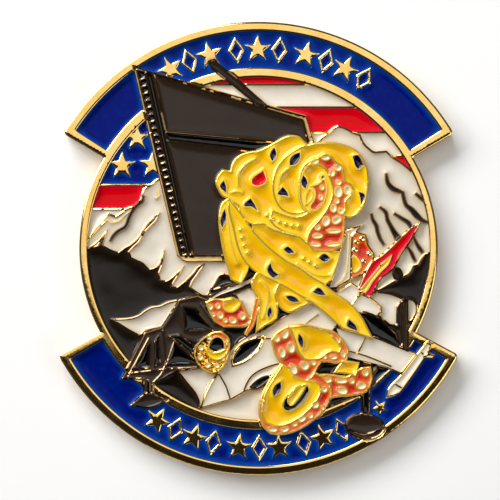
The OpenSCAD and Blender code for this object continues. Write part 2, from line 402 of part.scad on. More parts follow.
// The animal, an octopus: undersides first, then arms from back to front
bead_r = 0.25;
function beads(p) = [for (q = p) ["coin_body", 2, 0, oval(q[0], q[1], bead_r, bead_r)]];
ANIMAL = concat(
    [
        ["upper_underside_orange", 2, arm_line, smooth([
            [6.4, -0.2, 1], [6.2, 6], [6.6, 11.5], [8.6, 13.5], [11, 12.8], [12.8, 11], [13.7, 8.8],
            [13.2, 6.6], [12.1, 5], [12, 3.2], [11.6, 0.2, 1], [9, -0.6],
        ])],
        ["head_enamel", 2, arm_line, smooth([
            [-4.2, 7, 1], [-4.9, 7.3], [-5.6, 8.3], [-5.9, 9.2], [-5.6, 10.2], [-5, 10.9],
            [-3.9, 10.8, 1], [-3.7, 11.65], [-3.3, 12.4], [-2.5, 13.05], [-1.5, 13.4], [-0.2, 13.6],
            [1, 14.1], [2.3, 14.8], [3.7, 15.55], [4.8, 15.75], [5.65, 15.55], [6.7, 14.6, 1],
            [7.6, 12.2, 1], [6.6, 11.6], [5.9, 10], [6, 6.2], [7, 4.9, 1], [6.8, 1.2, 1],
            [5.9, 1.4], [3.1, 2.1], [0.8, 3.2], [-0.8, 3.4], [-3.6, 5],
        ])],
        ["back_arm_enamel", 2, arm_line, smooth([
            [6.8, 0.9, 1], [7.6, -0.15], [9.4, -0.3], [11.4, -0.5, 1], [11.1, -1.7], [10.6, -3.1],
            [10, -4.5, 1], [9, -5.2, 1], [5, -3.5], [1.5, -1], [-0.8, 2], [-0.8, 3.4, 1],
            [0.8, 3.4], [1.6, 2.8], [3.1, 2.3], [4.6, 1.8], [5.9, 1.6],
        ])],
        ["left_arm_enamel", 2, arm_line, smooth([
            [-4.2, 7, 1], [-4.9, 6.5], [-5.4, 5.2], [-5.5, 4], [-5.4, 2.7], [-5, 0.1], [-4.6, -1.55],
            [-4.1, -3.2], [-3.8, -4.3, 1], [-2.5, -4.9, 1], [-1.65, -3.3], [-1.3, -2, 1], [-2, 2],
            [-2.8, 6, 1],
        ])],
        ["lower_underside_orange", 2, 0.18, ribbon([
            [-0.2, -7, 0.4], [-0.5, -8.9, 0.64], [-1, -10.7, 0.6], [-1.8, -12, 0.3],
        ])],
        ["front_arms_enamel", 2, arm_line, smooth([
            [0.1, -3, 1], [2.4, -4.5], [3.2, -5.8], [3, -7], [2.6, -7.7], [2.5, -9.7], [1, -10.7],
            [-0.3, -11.6, 1], [0, -8.9], [0.15, -7.4], [-0.4, -6.35], [-1, -4.8],
        ])],
        ["front_arms_enamel", 2, arm_line, smooth([
            [2.8, -4.9, 1], [5.6, -6.2, 1], [7.2, -7.6, 1], [5.65, -8.3], [4.25, -8.9], [2.8, -7.9],
            [2.3, -6.4],
        ])],
        ["cross_arm_enamel", 2, arm_line, smooth([
            [-4.2, 7, 1], [-3.2, 5.8], [-2.3, 4.6], [-1, 2.7], [0.4, 1.15], [1.8, -0.15], [3.1, -1.2],
            [4.1, -1.9], [5.5, -2.6], [7.45, -4], [9, -4.9], [10.05, -5.8], [11.35, -6.7],
            [12.6, -7.6], [13.65, -8.65], [14.55, -9.9], [15.2, -11.2], [15.9, -12.5, 1],
            [14.2, -11.95], [12.9, -11.5], [11.7, -11.1], [10.7, -10.2], [9.4, -9], [7.2, -7.3],
            [5.5, -6.35], [3.6, -5.2], [2.3, -4.55], [0.4, -3.65], [-0.8, -2.9], [-1.5, -2.2],
            [-2.2, -1.3], [-2.8, 0], [-3.2, 1.4], [-3.6, 3.2], [-4.1, 5],
        ])],
        ["right_arm_enamel", 2, arm_line, smooth([
            [4.2, 13.1], [6.2, 14.3], [7.5, 14.6], [8.8, 14.75], [10.1, 14.8], [11.35, 14.6],
            [12.6, 14.2], [13.65, 13.6], [14.4, 12.7], [15, 11.5], [15.25, 10.1], [15.25, 8.7],
            [15.05, 7.3], [14.7, 6], [14.05, 5.1], [13.3, 4.5], [12.6, 4.35], [12, 4.6, 1],
            [12.1, 5.8], [12.2, 6.8], [12.8, 7.4], [13.2, 8.2], [12.9, 8.9], [12.1, 9.4], [11.8, 10.6],
            [11.6, 11.5], [10.7, 12.2], [10, 13], [9.2, 13.2], [8.3, 12.6], [7.4, 12.3], [6.4, 11.6],
            [5.8, 10.4], [5.6, 8.6], [5.7, 6.8], [6.4, 5.2, 1], [4.8, 4.9], [3.2, 5.6], [2.3, 7],
            [2, 8.8], [2.3, 10.6], [3, 12],
        ])],
        ["curl_arm_enamel", 2, arm_line, smooth([
            [6.7, 0.7, 1], [6.9, 1.9], [7.5, 2.9], [8.3, 3.8], [9, 4.7], [9.8, 6], [10.25, 7.2],
            [10.4, 8.5], [9.9, 10], [9.4, 11], [8.5, 11.7], [7.5, 11.9], [6.6, 11.3], [6, 10.2],
            [5.8, 8.8], [5.8, 7.2], [6.2, 5.9], [7, 5, 1], [5.3, 4.3], [3.4, 4.7], [1.9, 5.3, 1],
            [1.6, 4], [3.5, 2.4], [5.4, 1.8],
        ])],
        ["upper_underside_orange", 2, 0.18, smooth([
            [7.3, 8.7, 1], [8.3, 9], [9.3, 9.7, 1], [9.5, 8.3], [9.2, 6.8], [8.6, 5.8], [7.7, 5.3],
            [7.2, 5.8], [7.8, 6.9], [7.9, 8],
        ])],
        ["curl_arm_enamel", 2, 0.16, smooth([
            [6.6, 6.1, 1], [6.6, 7.3], [7.1, 8.3], [7.6, 7.9], [7.4, 6.8],
        ])],
    ],
    [
        ["grip_underside_orange", 2, arm_line, smooth([
            [-7.3, -7.5, 1], [-6.8, -8.9], [-6, -10.2], [-4.8, -10.9], [-3.4, -10.9], [-1.7, -10.8],
            [-1, -10.05], [-1.7, -8.9], [-2.4, -7.4, 1], [-3.6, -6.9], [-5, -7.1], [-6.4, -7.1],
        ])],
        ["lower_arms_yellow", 2, 0.2, smooth([
            [-4.9, -7.3, 1], [-3.7, -7.1], [-2.6, -7.3], [-2.7, -8], [-3.6, -8.8], [-4.7, -8.5],
        ])],
        ["grip_underside_orange", 2, arm_line, smooth([
            [-7.4, -12.4], [-8.6, -13.5], [-8.9, -14.8], [-8.2, -16.3], [-6.8, -17.3], [-5.6, -17.1],
            [-4.7, -16.1], [-4.2, -14.7], [-4.2, -12.6], [-5.2, -11.6], [-6.5, -11.8],
        ])],
        ["curl_hollow_black", 2, 0.2, smooth([
            [-7, -14, 1], [-6.8, -13], [-5.8, -12.3], [-4.9, -12.8], [-4.7, -14.1, 1], [-5.9, -14.5],
        ])],
        ["lower_arms_yellow", 2, 0.2, smooth([
            [-7.5, -14.2, 1], [-5.9, -14.6], [-4.3, -14.1, 1], [-4.8, -15.2], [-5.9, -15.6], [-6.9, -15.2],
        ])],
    ],
    [
        ["lower_underside_orange", 2, arm_line, smooth([
            [7, -17.9, 1], [9.4, -17.6], [12.4, -17.9], [13.5, -17.4], [14.4, -16.7], [15.6, -16.6],
            [15.8, -17.8], [15.5, -19.2], [15, -20], [12.6, -20.6], [10.4, -20.8], [8.8, -22, 1],
        ])],
        ["lower_arms_yellow", 2, arm_line, smooth([
            [10.6, -17.3, 1], [11.2, -16.4], [12, -15.8], [14, -16, 1], [13.5, -17.7, 1], [12.2, -17.4],
        ])],
        ["lower_underside_orange", 2, arm_line, smooth([
            [0.1, -22.3], [0.3, -24], [0.9, -25.1], [1.7, -25.8], [2.8, -26], [4.2, -25.8], [5.6, -25.3],
            [7.1, -24.4], [8.6, -23.1], [9.7, -21.6], [10.1, -19.9], [9, -18], [6.5, -16.8],
            [3, -16.2, 1], [1.4, -18.6], [0.5, -20.5],
        ])],
        ["lower_underside_orange", 2, arm_line, smooth([
            [1.8, -12.8, 1], [2.3, -12], [3.6, -11.1], [4.9, -10.7], [6.8, -10.7], [8.7, -11.2],
            [10.4, -11.6], [11.6, -12.6], [12.5, -14.2], [12.3, -15.5], [11, -16], [8.8, -15.8],
            [7.9, -17.2], [6.8, -18.4], [4.9, -18.2], [3.6, -16.6, 1], [3, -15.8], [2.3, -14.6],
        ])],
        ["lower_arms_yellow", 2, arm_line, smooth([
            [4.4, -11, 1], [6.8, -10.8], [8.7, -11.3], [9.8, -11.7], [10.5, -12.5], [11.5, -13.8],
            [11.2, -14.5], [9.9, -14.4], [8.7, -15.2, 1], [6.4, -15.4], [5.6, -14.4], [5, -12.6],
        ])],
        ["lower_loop_yellow", 2, arm_line, smooth([
            [3.3, -16.3, 1], [2.05, -18.3], [1.05, -20.05], [0.65, -21.7], [0.5, -23], [1, -24.2],
            [2.3, -24.7], [4.3, -24.35], [6.65, -22.8], [8.4, -20.6], [8.6, -19.1], [7.9, -18.6],
            [6.3, -18.4], [4.9, -17.9, 1], [4.4, -16.7],
        ])],
        ["curl_hollow_black", 2, 0.2, smooth([
            [3.4, -21.6], [3.6, -22.5], [4.4, -22.7], [5.6, -22.1], [6.7, -20.8], [7.1, -19.6],
            [6.6, -18.9, 1], [5.4, -19.4], [4.2, -20.4],
        ])],
        ["lower_loop_yellow", 2, 0.2, smooth([
            [4.1, -21.2], [4.5, -21.9], [5.1, -21.5], [6, -20.3], [6.6, -19.2, 1],
            [5.6, -19.2], [4.7, -20.1],
        ])],
    ],
    // Folds between the arms
    [for (fold = [
        [[-2.9, 8.6, 0.12], [-2.9, 10.2, 0.2], [-2, 11.6, 0.22], [-0.4, 12.6, 0.12]],
        [[-3.9, 7.8, 0.12], [-2.8, 8, 0.2], [-2.2, 7.8, 0.12]],
        [[3.1, 6.7, 0.12], [2.8, 8.4, 0.2], [3.1, 10.2, 0.2], [4.3, 11.3, 0.12]],
        [[-4.3, 4.4, 0.12], [-4.1, 2, 0.2], [-3.7, -0.2, 0.2], [-3, -2.2, 0.12]],
        [[5.4, -2.1, 0.12], [6.8, -3.1, 0.2], [8.2, -3.7, 0.2], [10, -3.8, 0.14]],
        [[0.2, -4.6, 0.12], [1.3, -6, 0.2], [1.2, -8, 0.2], [0.6, -9.8, 0.12]],
    ]) ["coin_body", 2, 0, ribbon(fold)]],
    beads([
        [1.2, 4.6], [2, 4.1], [2.9, 3.7], [3.8, 3.4], [4.7, 3.2], [5.6, 3.1],
        [-2.5, 2.6], [-2.3, 1.5], [-2, 0.4], [-1.5, -0.6],
        [6.3, -1.4], [7.1, -1.9], [8, -2.4],
    ])
);

// Suckers under the arms: [x, y, half width, half height, tilt]
SUCKERS = [
    [9.4, 12.7, 0.5, 0.3, 0], [7.95, 12.15, 0.4, 0.28, 10], [11.15, 11.3, 0.45, 0.4, 0],
    [10.3, 10.55, 0.34, 0.42, 0], [11.15, 7.9, 0.5, 0.66, 0], [12.45, 8.1, 0.42, 0.56, 0],
    [11.2, 9.2, 0.34, 0.3, 0], [10.95, 6.6, 0.3, 0.3, 0], [10.5, 5.6, 0.36, 0.48, 0],
    [11.55, 5.2, 0.38, 0.36, 0], [9.45, 3.8, 0.46, 0.6, -20], [10.95, 3.95, 0.6, 0.4, 30],
    [8.3, 2.9, 0.34, 0.28, 30], [10.6, 2.4, 0.85, 0.24, 4], [8.3, 1.7, 0.6, 0.24, 6],
    [10.5, 0.55, 0.85, 0.26, 4], [8.05, 0.5, 0.6, 0.24, -4], [8.9, 8.5, 0.26, 0.3, 0],
    [8.75, 7.1, 0.24, 0.32, 0], [-6.7, -8.2, 0.3, 0.34, 0], [-5.6, -8.1, 0.28, 0.3, 0],
    [-5.3, -9.4, 0.36, 0.38, 0], [-2.2, -9.5, 0.36, 0.4, 0], [-3.5, -10.1, 0.4, 0.34, 0],
    [-4.6, -10.1, 0.26, 0.24, 0], [-6.3, -9.3, 0.24, 0.26, 0], [-8, -13.9, 0.34, 0.36, 0],
    [-8.1, -15.2, 0.34, 0.36, 0], [-7.1, -16.3, 0.36, 0.34, 0], [-5.8, -16.4, 0.36, 0.32, 0],
    [-4.9, -15.5, 0.22, 0.26, 0], [-6.9, -12.5, 0.26, 0.24, 0], [-4.5, -13.2, 0.16, 0.3, 0],
    [2.6, -12.6, 0.36, 0.42, 0], [3.75, -12, 0.4, 0.56, -20], [4.6, -13.9, 0.44, 0.6, 0],
    [3.35, -14.6, 0.4, 0.6, 0], [4.9, -16.9, 0.46, 0.62, 20], [6.5, -16.4, 0.5, 0.5, 0],
    [7.7, -16, 0.3, 0.3, 0], [11.2, -12.9, 0.26, 0.3, 0], [11.9, -14.8, 0.28, 0.4, 0],
    [10.5, -15.2, 0.42, 0.28, 0], [9.3, -15.2, 0.24, 0.24, 0], [0.5, -21.7, 0.14, 0.5, 0],
    [2, -25.3, 0.56, 0.3, -6], [3.7, -25.3, 0.52, 0.3, 14], [5.1, -24.6, 0.3, 0.26, 20],
    [6.1, -23.8, 0.52, 0.34, 30], [7.3, -23.4, 0.34, 0.3, 40], [8, -21.9, 0.42, 0.36, 30],
    [9, -22.3, 0.26, 0.3, 0], [9.2, -19.7, 0.36, 0.34, 0], [9.8, -18.4, 0.4, 0.3, 0],
    [11.6, -18.5, 0.72, 0.32, 0], [13.1, -18.6, 0.3, 0.28, 0], [11.7, -19.9, 0.66, 0.44, -10],
    [14.4, -19.2, 0.6, 0.42, 10], [15, -17.4, 0.36, 0.4, 0],
];
sucker_size = 1.1;
SUCKER_ART = [
    for (s = SUCKERS)
        ["sucker_enamel", 2, fine_line, oval(s[0], s[1], sucker_size * s[2], sucker_size * s[3], s[4])]
];

// Dark spots and the eye on the arms
SPOTS = [
    for (outline = [
        smooth([[-4.85, 9.6, 1], [-5.45, 8.7], [-4.4, 7.6, 1], [-4.5, 8.8]]),
        smooth([[-1.1, 7.1, 1], [-2.1, 6], [-1, 5.8], [0.05, 5, 1], [-0.5, 6.2]]),
        smooth([[3.4, 8.7, 1], [2.6, 7.6], [3.4, 7.4], [4.3, 7.2, 1], [4, 8]]),
        leaf(-4.9, 4.2, 2.9, 0.76, 81),
        leaf(2.05, 13.15, 2.1, 0.9, 82),
        leaf(5.1, 12.5, 2.5, 1.15, 52),
        leaf(6.4, 9.3, 2.1, 0.85, 100),
        leaf(8.95, 9.95, 0.8, 0.42, 70),
        smooth([[3.4, -0.1, 1], [4.1, 0.35], [5.1, -0.6, 1], [4.2, -0.75]]),
        smooth([[1.7, -1.9, 1], [1.15, -2.95], [2.2, -4.2], [2.85, -3.6, 1], [2.1, -3]]),
        smooth([[8.3, -1.3, 1], [9.2, -0.65], [10.15, -1.4, 1], [9.2, -1.9]]),
        smooth([[13.05, 12.9, 1], [13.9, 13.1], [14.75, 11.6, 1], [13.8, 11.1]]),
        smooth([[13.9, 8, 1], [14.9, 7.5], [14.3, 5.7, 1], [14.2, 6.8]]),
        leaf(1.55, -8.9, 1.8, 0.66, 84),
        leaf(4.75, -7.05, 2.2, 0.8, -22),
        smooth([[7.5, -6.1, 1], [8.4, -5.4], [9.5, -6.6, 1], [8.4, -6.5]]),
        smooth([[12.6, -9.8, 1], [12.3, -10.8], [13.9, -11.6, 1], [13.6, -10.7]]),
        leaf(5.9, -12.9, 2.3, 0.7, -76),
        leaf(2.6, -19.6, 2.4, 1.0, 64),
    ]) ["navy_spots", 2, fine_line, outline]
];
EYE = [["red_eye_enamel", 2, 0.18, smooth([
    [0.7, 11, 1], [0.95, 10.3], [1.1, 9.4], [0.1, 8.75], [-0.9, 8.95], [-0.9, 9.8],
])]];

ART = concat(FIELD, SCROLLS, PANEL, TRUSS, JET, ANIMAL, SUCKER_ART, SPOTS, EYE);

// ---- Cells: each outline less its line and less everything in front of it ----

BOXES = [for (a = ART) [low(a[3]), high(a[3])]];
margin = 0.5;
function apart(a, b) =
    a[0][0] > b[1][0] + margin || b[0][0] > a[1][0] + margin
    || a[0][1] > b[1][1] + margin || b[0][1] > a[1][1] + margin;
function level_of(name) = [for (a = ART) if (a[0] == name) a[1]][0];
function is_metal(i) = ART[i][0] == "coin_body";

module outline(i, grow) {
    polygon(unit * grown(ART[i][3], grow * ART[i][2] / 2));
}

// The open area that enamel fills within outline i
module cell(i) {
    difference() {
        intersection() {
            outline(i, -1);
            if (i < len(FIELD)) circle(r = unit * field_r, $fn = 180);
            else offset(delta = -unit * least_rim) silhouette();
        }
        for (j = [i + 1 : 1 : len(ART) - 1])
            if (!apart(BOXES[i], BOXES[j]))
                outline(j, 1);
    }
}

// Slivers narrower than this stay metal
sliver = 0.1;
module open_cells(i) {
    offset(delta = sliver / 2)
        offset(delta = -sliver / 2)
            cell(i);
}

module enamel(name) {
    level = level_of(name);
    depth = TOP[level] - FLOOR[level] - enamel_drop;
    translate([0, 0, FLOOR[level]])
        linear_extrude(depth)
            offset(delta = 0)
                for (i = [0 : len(ART) - 1])
                    if (ART[i][0] == name)
                        open_cells(i);
}

// ---- The casting ----

corner_steps = 4;
function rounded_corner(r, a, sense) =
    let (c = corner_r, start = a - sense * asin(c / (r - c)))
    [
        for (k = [0 : corner_steps])
            let (t = start + sense * 90 * k / corner_steps)
            (r - c) * [cos(start), sin(start)] + c * [cos(t), sin(t)]
    ];
function scroll_shape(mid, half) =
    let (pull = asin(corner_r / (scroll_r - corner_r)))
    concat(
        rounded_corner(scroll_r, mid + half, 1),
        arc(field_r, mid + half, mid - half),
        reversed(rounded_corner(scroll_r, mid - half, -1)),
        arc(scroll_r, mid - half + pull, mid + half - pull)
    );
module silhouette() {
    circle(r = unit * disc_r, $fn = 180);
    polygon(unit * scroll_shape(90, top_half_angle));
    polygon(unit * scroll_shape(270, bottom_half_angle));
}

// Every outline at this level or in front of it
module raised_area(level) {
    for (i = [0 : len(ART) - 1])
        if (ART[i][1] >= level)
            outline(i, 1);
}

module layer(level) {
    translate([0, 0, FLOOR[level]])
        linear_extrude(TOP[level] - FLOOR[level])
            offset(delta = 0)
                difference() {
                    if (level == 0) silhouette();
                    else intersection() {
                        silhouette();
                        raised_area(level);
                    }
                    for (i = [0 : len(ART) - 1])
                        if (ART[i][1] == level && !is_metal(i))
                            open_cells(i);
                }
}

// The outer rim and the ring stand a little above the background
module rim() {
    translate([0, 0, TOP[0]])
        linear_extrude(rim_h - field_h)
            offset(delta = 0)
                difference() {
                    silhouette();
                    circle(r = unit * field_r, $fn = 180);
                    for (i = [len(FIELD) : len(FIELD) + 1])
                        polygon(unit * ART[i][3]);
                    raised_area(1);
                }
}

module coin_body() {
    color("#cdaa5c")
        union() {
            difference() {
                linear_extrude(base_t)
                    offset(delta = 0)
                        silhouette();
                translate([0, 0, -1])
                    linear_extrude(1 + back_recess)
                        offset(delta = -back_rim)
                            silhouette();
            }
            layer(0);
            rim();
            layer(1);
            layer(2);
        }
}

// ---- The enamel fills ----

royal_blue = "#00145f";
flag_red = "#d80423";
flag_white = "#f5efdd";
snow_white = "#e6e0d2";
rock_brown = "#2c221b";
plate_taupe = "#42362d";
deep_black = "#0b0a0a";
sun_yellow = "#facd1e";
coral_orange = "#e15a1e";
pearl_cream = "#f3ecc8";
spot_navy = "#0c0e3c";

module top_scroll_enamel() { color(royal_blue) enamel("top_scroll_enamel"); }
module bottom_scroll_enamel() { color(royal_blue) enamel("bottom_scroll_enamel"); }
module canton_enamel() { color(royal_blue) enamel("canton_enamel"); }
module upper_red_stripe() { color(flag_red) enamel("upper_red_stripe"); }
module upper_white_stripe() { color(flag_white) enamel("upper_white_stripe"); }
module middle_red_stripe() { color(flag_red) enamel("middle_red_stripe"); }
module middle_white_stripe() { color(flag_white) enamel("middle_white_stripe"); }
module right_red_stripe() { color(flag_red) enamel("right_red_stripe"); }
module left_red_stripe() { color(flag_red) enamel("left_red_stripe"); }
module left_white_stripe() { color(flag_white) enamel("left_white_stripe"); }
module left_rock_enamel() { color(rock_brown) enamel("left_rock_enamel"); }
module left_snow_enamel() { color(snow_white) enamel("left_snow_enamel"); }
module left_foreground_snow() { color(snow_white) enamel("left_foreground_snow"); }
module nose_ground_snow() { color(snow_white) enamel("nose_ground_snow"); }
module right_rock_enamel() { color(rock_brown) enamel("right_rock_enamel"); }
module right_snow_enamel() { color(snow_white) enamel("right_snow_enamel"); }
module right_foreground_snow() { color(snow_white) enamel("right_foreground_snow"); }
module mountain_cracks() { color(rock_brown) enamel("mountain_cracks"); }
module mast_tooth_band() { color(deep_black) enamel("mast_tooth_band"); }
module mast_inner_band() { color(deep_black) enamel("mast_inner_band"); }
module upper_panel_enamel() { color(plate_taupe) enamel("upper_panel_enamel"); }
module lower_panel_enamel() { color(plate_taupe) enamel("lower_panel_enamel"); }
module panel_gap_enamel() { color(deep_black) enamel("panel_gap_enamel"); }
module antenna_rod_enamel() { color(plate_taupe) enamel("antenna_rod_enamel"); }
module truss_enamel() { color(plate_taupe) enamel("truss_enamel"); }
module truss_windows() { color(deep_black) enamel("truss_windows"); }
module left_foot_pad() { color(plate_taupe) enamel("left_foot_pad"); }
module right_foot_pad() { color(plate_taupe) enamel("right_foot_pad"); }
module right_leg_enamel() { color(deep_black) enamel("right_leg_enamel"); }
module jet_fuselage_enamel() { color(flag_white) enamel("jet_fuselage_enamel"); }
module jet_nose_enamel() { color(flag_white) enamel("jet_nose_enamel"); }
module jet_canopy_enamel() { color(deep_black) enamel("jet_canopy_enamel"); }
module jet_intake_enamel() { color(deep_black) enamel("jet_intake_enamel"); }
module jet_fin_enamel() { color(flag_white) enamel("jet_fin_enamel"); }
module jet_tail_enamel() { color(flag_white) enamel("jet_tail_enamel"); }
module jet_right_wing_enamel() { color(flag_white) enamel("jet_right_wing_enamel"); }
module jet_left_wing_enamel() { color(flag_white) enamel("jet_left_wing_enamel"); }
module wing_tip_missile() { color(flag_white) enamel("wing_tip_missile"); }
module slim_missile() { color(flag_white) enamel("slim_missile"); }
module flame_red_enamel() { color(flag_red) enamel("flame_red_enamel"); }
module flame_core_enamel() { color(sun_yellow) enamel("flame_core_enamel"); }
module hook_arm_orange() { color(coral_orange) enamel("hook_arm_orange"); }
module hook_arm_yellow() { color(sun_yellow) enamel("hook_arm_yellow"); }
module head_enamel() { color(sun_yellow) enamel("head_enamel"); }
module left_arm_enamel() { color(sun_yellow) enamel("left_arm_enamel"); }
module right_arm_enamel() { color(sun_yellow) enamel("right_arm_enamel"); }
module curl_arm_enamel() { color(sun_yellow) enamel("curl_arm_enamel"); }
module cross_arm_enamel() { color(sun_yellow) enamel("cross_arm_enamel"); }
module back_arm_enamel() { color(sun_yellow) enamel("back_arm_enamel"); }
module front_arms_enamel() { color(sun_yellow) enamel("front_arms_enamel"); }
module lower_loop_yellow() { color(sun_yellow) enamel("lower_loop_yellow"); }
module lower_arms_yellow() { color(sun_yellow) enamel("lower_arms_yellow"); }
module upper_underside_orange() { color(coral_orange) enamel("upper_underside_orange"); }
module grip_underside_orange() { color(coral_orange) enamel("grip_underside_orange"); }
module lower_underside_orange() { color(coral_orange) enamel("lower_underside_orange"); }
module sucker_enamel() { color(pearl_cream) enamel("sucker_enamel"); }
module navy_spots() { color(spot_navy) enamel("navy_spots"); }
module red_eye_enamel() { color(flag_red) enamel("red_eye_enamel"); }
module curl_hollow_black() { color(deep_black) enamel("curl_hollow_black"); }

coin_body();
top_scroll_enamel();
bottom_scroll_enamel();
canton_enamel();
upper_red_stripe();
upper_white_stripe();
middle_red_stripe();
middle_white_stripe();
right_red_stripe();
left_red_stripe();
left_white_stripe();
left_rock_enamel();
left_snow_enamel();
left_foreground_snow();
nose_ground_snow();
right_rock_enamel();
right_snow_enamel();
right_foreground_snow();
mountain_cracks();
mast_tooth_band();
mast_inner_band();
upper_panel_enamel();
lower_panel_enamel();
panel_gap_enamel();
antenna_rod_enamel();
truss_enamel();
truss_windows();
left_foot_pad();
right_foot_pad();
right_leg_enamel();
jet_fuselage_enamel();
jet_nose_enamel();
jet_canopy_enamel();
jet_intake_enamel();
jet_fin_enamel();
jet_tail_enamel();
jet_right_wing_enamel();
jet_left_wing_enamel();
wing_tip_missile();
slim_missile();
flame_red_enamel();
flame_core_enamel();
hook_arm_orange();
hook_arm_yellow();
head_enamel();
left_arm_enamel();
right_arm_enamel();
curl_arm_enamel();
cross_arm_enamel();
back_arm_enamel();
front_arms_enamel();
lower_loop_yellow();
lower_arms_yellow();
upper_underside_orange();
grip_underside_orange();
lower_underside_orange();
sucker_enamel();
navy_spots();
red_eye_enamel();
curl_hollow_black();
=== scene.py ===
import json
import math

import bmesh
import bpy
import numpy as np
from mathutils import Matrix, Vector, geometry, noise
from mathutils.bvhtree import BVHTree
from mathutils.kdtree import KDTree


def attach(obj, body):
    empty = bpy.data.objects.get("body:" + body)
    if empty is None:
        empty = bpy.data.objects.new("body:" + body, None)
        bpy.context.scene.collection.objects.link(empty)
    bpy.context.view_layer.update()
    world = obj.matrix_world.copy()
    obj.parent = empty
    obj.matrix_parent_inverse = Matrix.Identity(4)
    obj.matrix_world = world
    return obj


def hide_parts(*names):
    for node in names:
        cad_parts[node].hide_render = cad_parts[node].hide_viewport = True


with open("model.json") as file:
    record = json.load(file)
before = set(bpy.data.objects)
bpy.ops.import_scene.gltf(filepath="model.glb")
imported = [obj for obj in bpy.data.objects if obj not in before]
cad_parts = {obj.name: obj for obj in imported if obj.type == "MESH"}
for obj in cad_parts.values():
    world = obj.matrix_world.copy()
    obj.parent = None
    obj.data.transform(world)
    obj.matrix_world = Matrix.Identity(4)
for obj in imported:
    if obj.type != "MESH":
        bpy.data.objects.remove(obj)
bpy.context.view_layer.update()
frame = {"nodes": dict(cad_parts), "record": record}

# ---- Frame: every length below is in millimetres until a mesh is built ----

MM = 0.001
CASTING = "coin_body"
ENAMELS = sorted(name for name in frame["nodes"] if name != CASTING)
BACK_CLEAR = 0.5  # a wall that ends below this belongs to the back


def corners_and_triangles(name):
    """A CAD node's corners in mm, and its triangles."""
    data = frame["nodes"][name].data
    points = np.zeros(len(data.vertices) * 3, np.float32)
    data.vertices.foreach_get("co", points)
    data.calc_loop_triangles()
    triangles = np.zeros(len(data.loop_triangles) * 3, np.int32)
    data.loop_triangles.foreach_get("vertices", triangles)
    return points.reshape(-1, 3).astype(float) / MM, triangles.reshape(-1, 3)


def ray_tree(names):
    """One ray-casting tree over these nodes, and the node of each of its triangles."""
    points, faces, owners, start = [], [], [], 0
    for name in names:
        p, t = corners_and_triangles(name)
        points.append(p)
        faces.append(t + start)
        owners += [name] * len(t)
        start += len(p)
    points = np.concatenate(points)
    return BVHTree.FromPolygons(points.tolist(), np.concatenate(faces).tolist()), owners


# ---- The drawing: outlines of the casting's walls, seen from above ----

SAME_POINT = 3e-3
UPRIGHT = 0.01  # the most that an upright triangle's normal leans out of the plane, of its length
LEVEL = 1e-4  # an edge whose ends differ by less is level
SHORTEST = 1e-3  # a shorter edge is left out


def joined(points):
    """The points with those closer than SAME_POINT made one, and the new place of each."""
    tree = KDTree(len(points))
    for k, p in enumerate(points):
        tree.insert((p[0], p[1], 0), k)
    tree.balance()
    index = np.full(len(points), -1)
    kept = []
    for k, p in enumerate(points):
        if index[k] < 0:
            for _, other, _ in tree.find_range((p[0], p[1], 0), SAME_POINT):
                if index[other] < 0:
                    index[other] = len(kept)
            kept.append(p)
    return np.array(kept), index


def wall_outline(points, triangles, keep):
    """Corners in the plane, and the pairs of them joined by the level edges of the upright triangles."""
    a, b, c = (points[triangles[:, k]] for k in range(3))
    normal = np.cross(b - a, c - a)
    upright = np.abs(normal[:, 2]) < UPRIGHT * np.linalg.norm(normal, axis=1)
    low = np.minimum(np.minimum(a[:, 2], b[:, 2]), c[:, 2])
    high = np.maximum(np.maximum(a[:, 2], b[:, 2]), c[:, 2])
    chosen = triangles[upright & keep(low, high)]
    pairs = np.concatenate([chosen[:, [0, 1]], chosen[:, [1, 2]], chosen[:, [2, 0]]])
    p, q = points[pairs[:, 0]], points[pairs[:, 1]]
    level = (np.abs(p[:, 2] - q[:, 2]) < LEVEL) & (np.hypot(*(p - q)[:, :2].T) > SHORTEST)
    corners, index = joined(np.concatenate([p[level, :2], q[level, :2]]))
    edges = np.sort(index.reshape(2, -1).T, axis=1)
    return corners, np.unique(edges[edges[:, 0] != edges[:, 1]], axis=0)


MERGE = 1e-3


def cross(u, v):
    """The height part of the product of vectors in the plane."""
    return u[..., 0] * v[..., 1] - u[..., 1] * v[..., 0]


def triangulate(points, edges):
    """Constrained Delaunay triangulation: points, triangles turned anticlockwise, fixed edges, and where
    each point given has gone."""
    made = geometry.delaunay_2d_cdt([Vector(p) for p in points], [tuple(e) for e in edges], [], 0, MERGE)
    fixed = [e for e, source in zip(made[1], made[4]) if source]
    new_points, triangles = np.array([tuple(p) for p in made[0]]), np.array(made[2])
    a, b, c = (new_points[triangles[:, k]] for k in range(3))
    clockwise = cross(b - a, c - a) < 0
    triangles[clockwise] = triangles[clockwise][:, ::-1]
    moved = {old: new for new, source in enumerate(made[3]) for old in source}
    return new_points, triangles, np.array(fixed), moved


SMOOTH_TURN = math.radians(42)  # a corner that turns less than this is on a curve
STRAIGHT_TURN = math.radians(20)  # or less than this, where a straight runs into the curve
LONGEST_CURVE_EDGE = 1.6  # a longer edge is a straight
CURVE_SAMPLE = 0.22
STRAIGHT_SAMPLE = 0.3


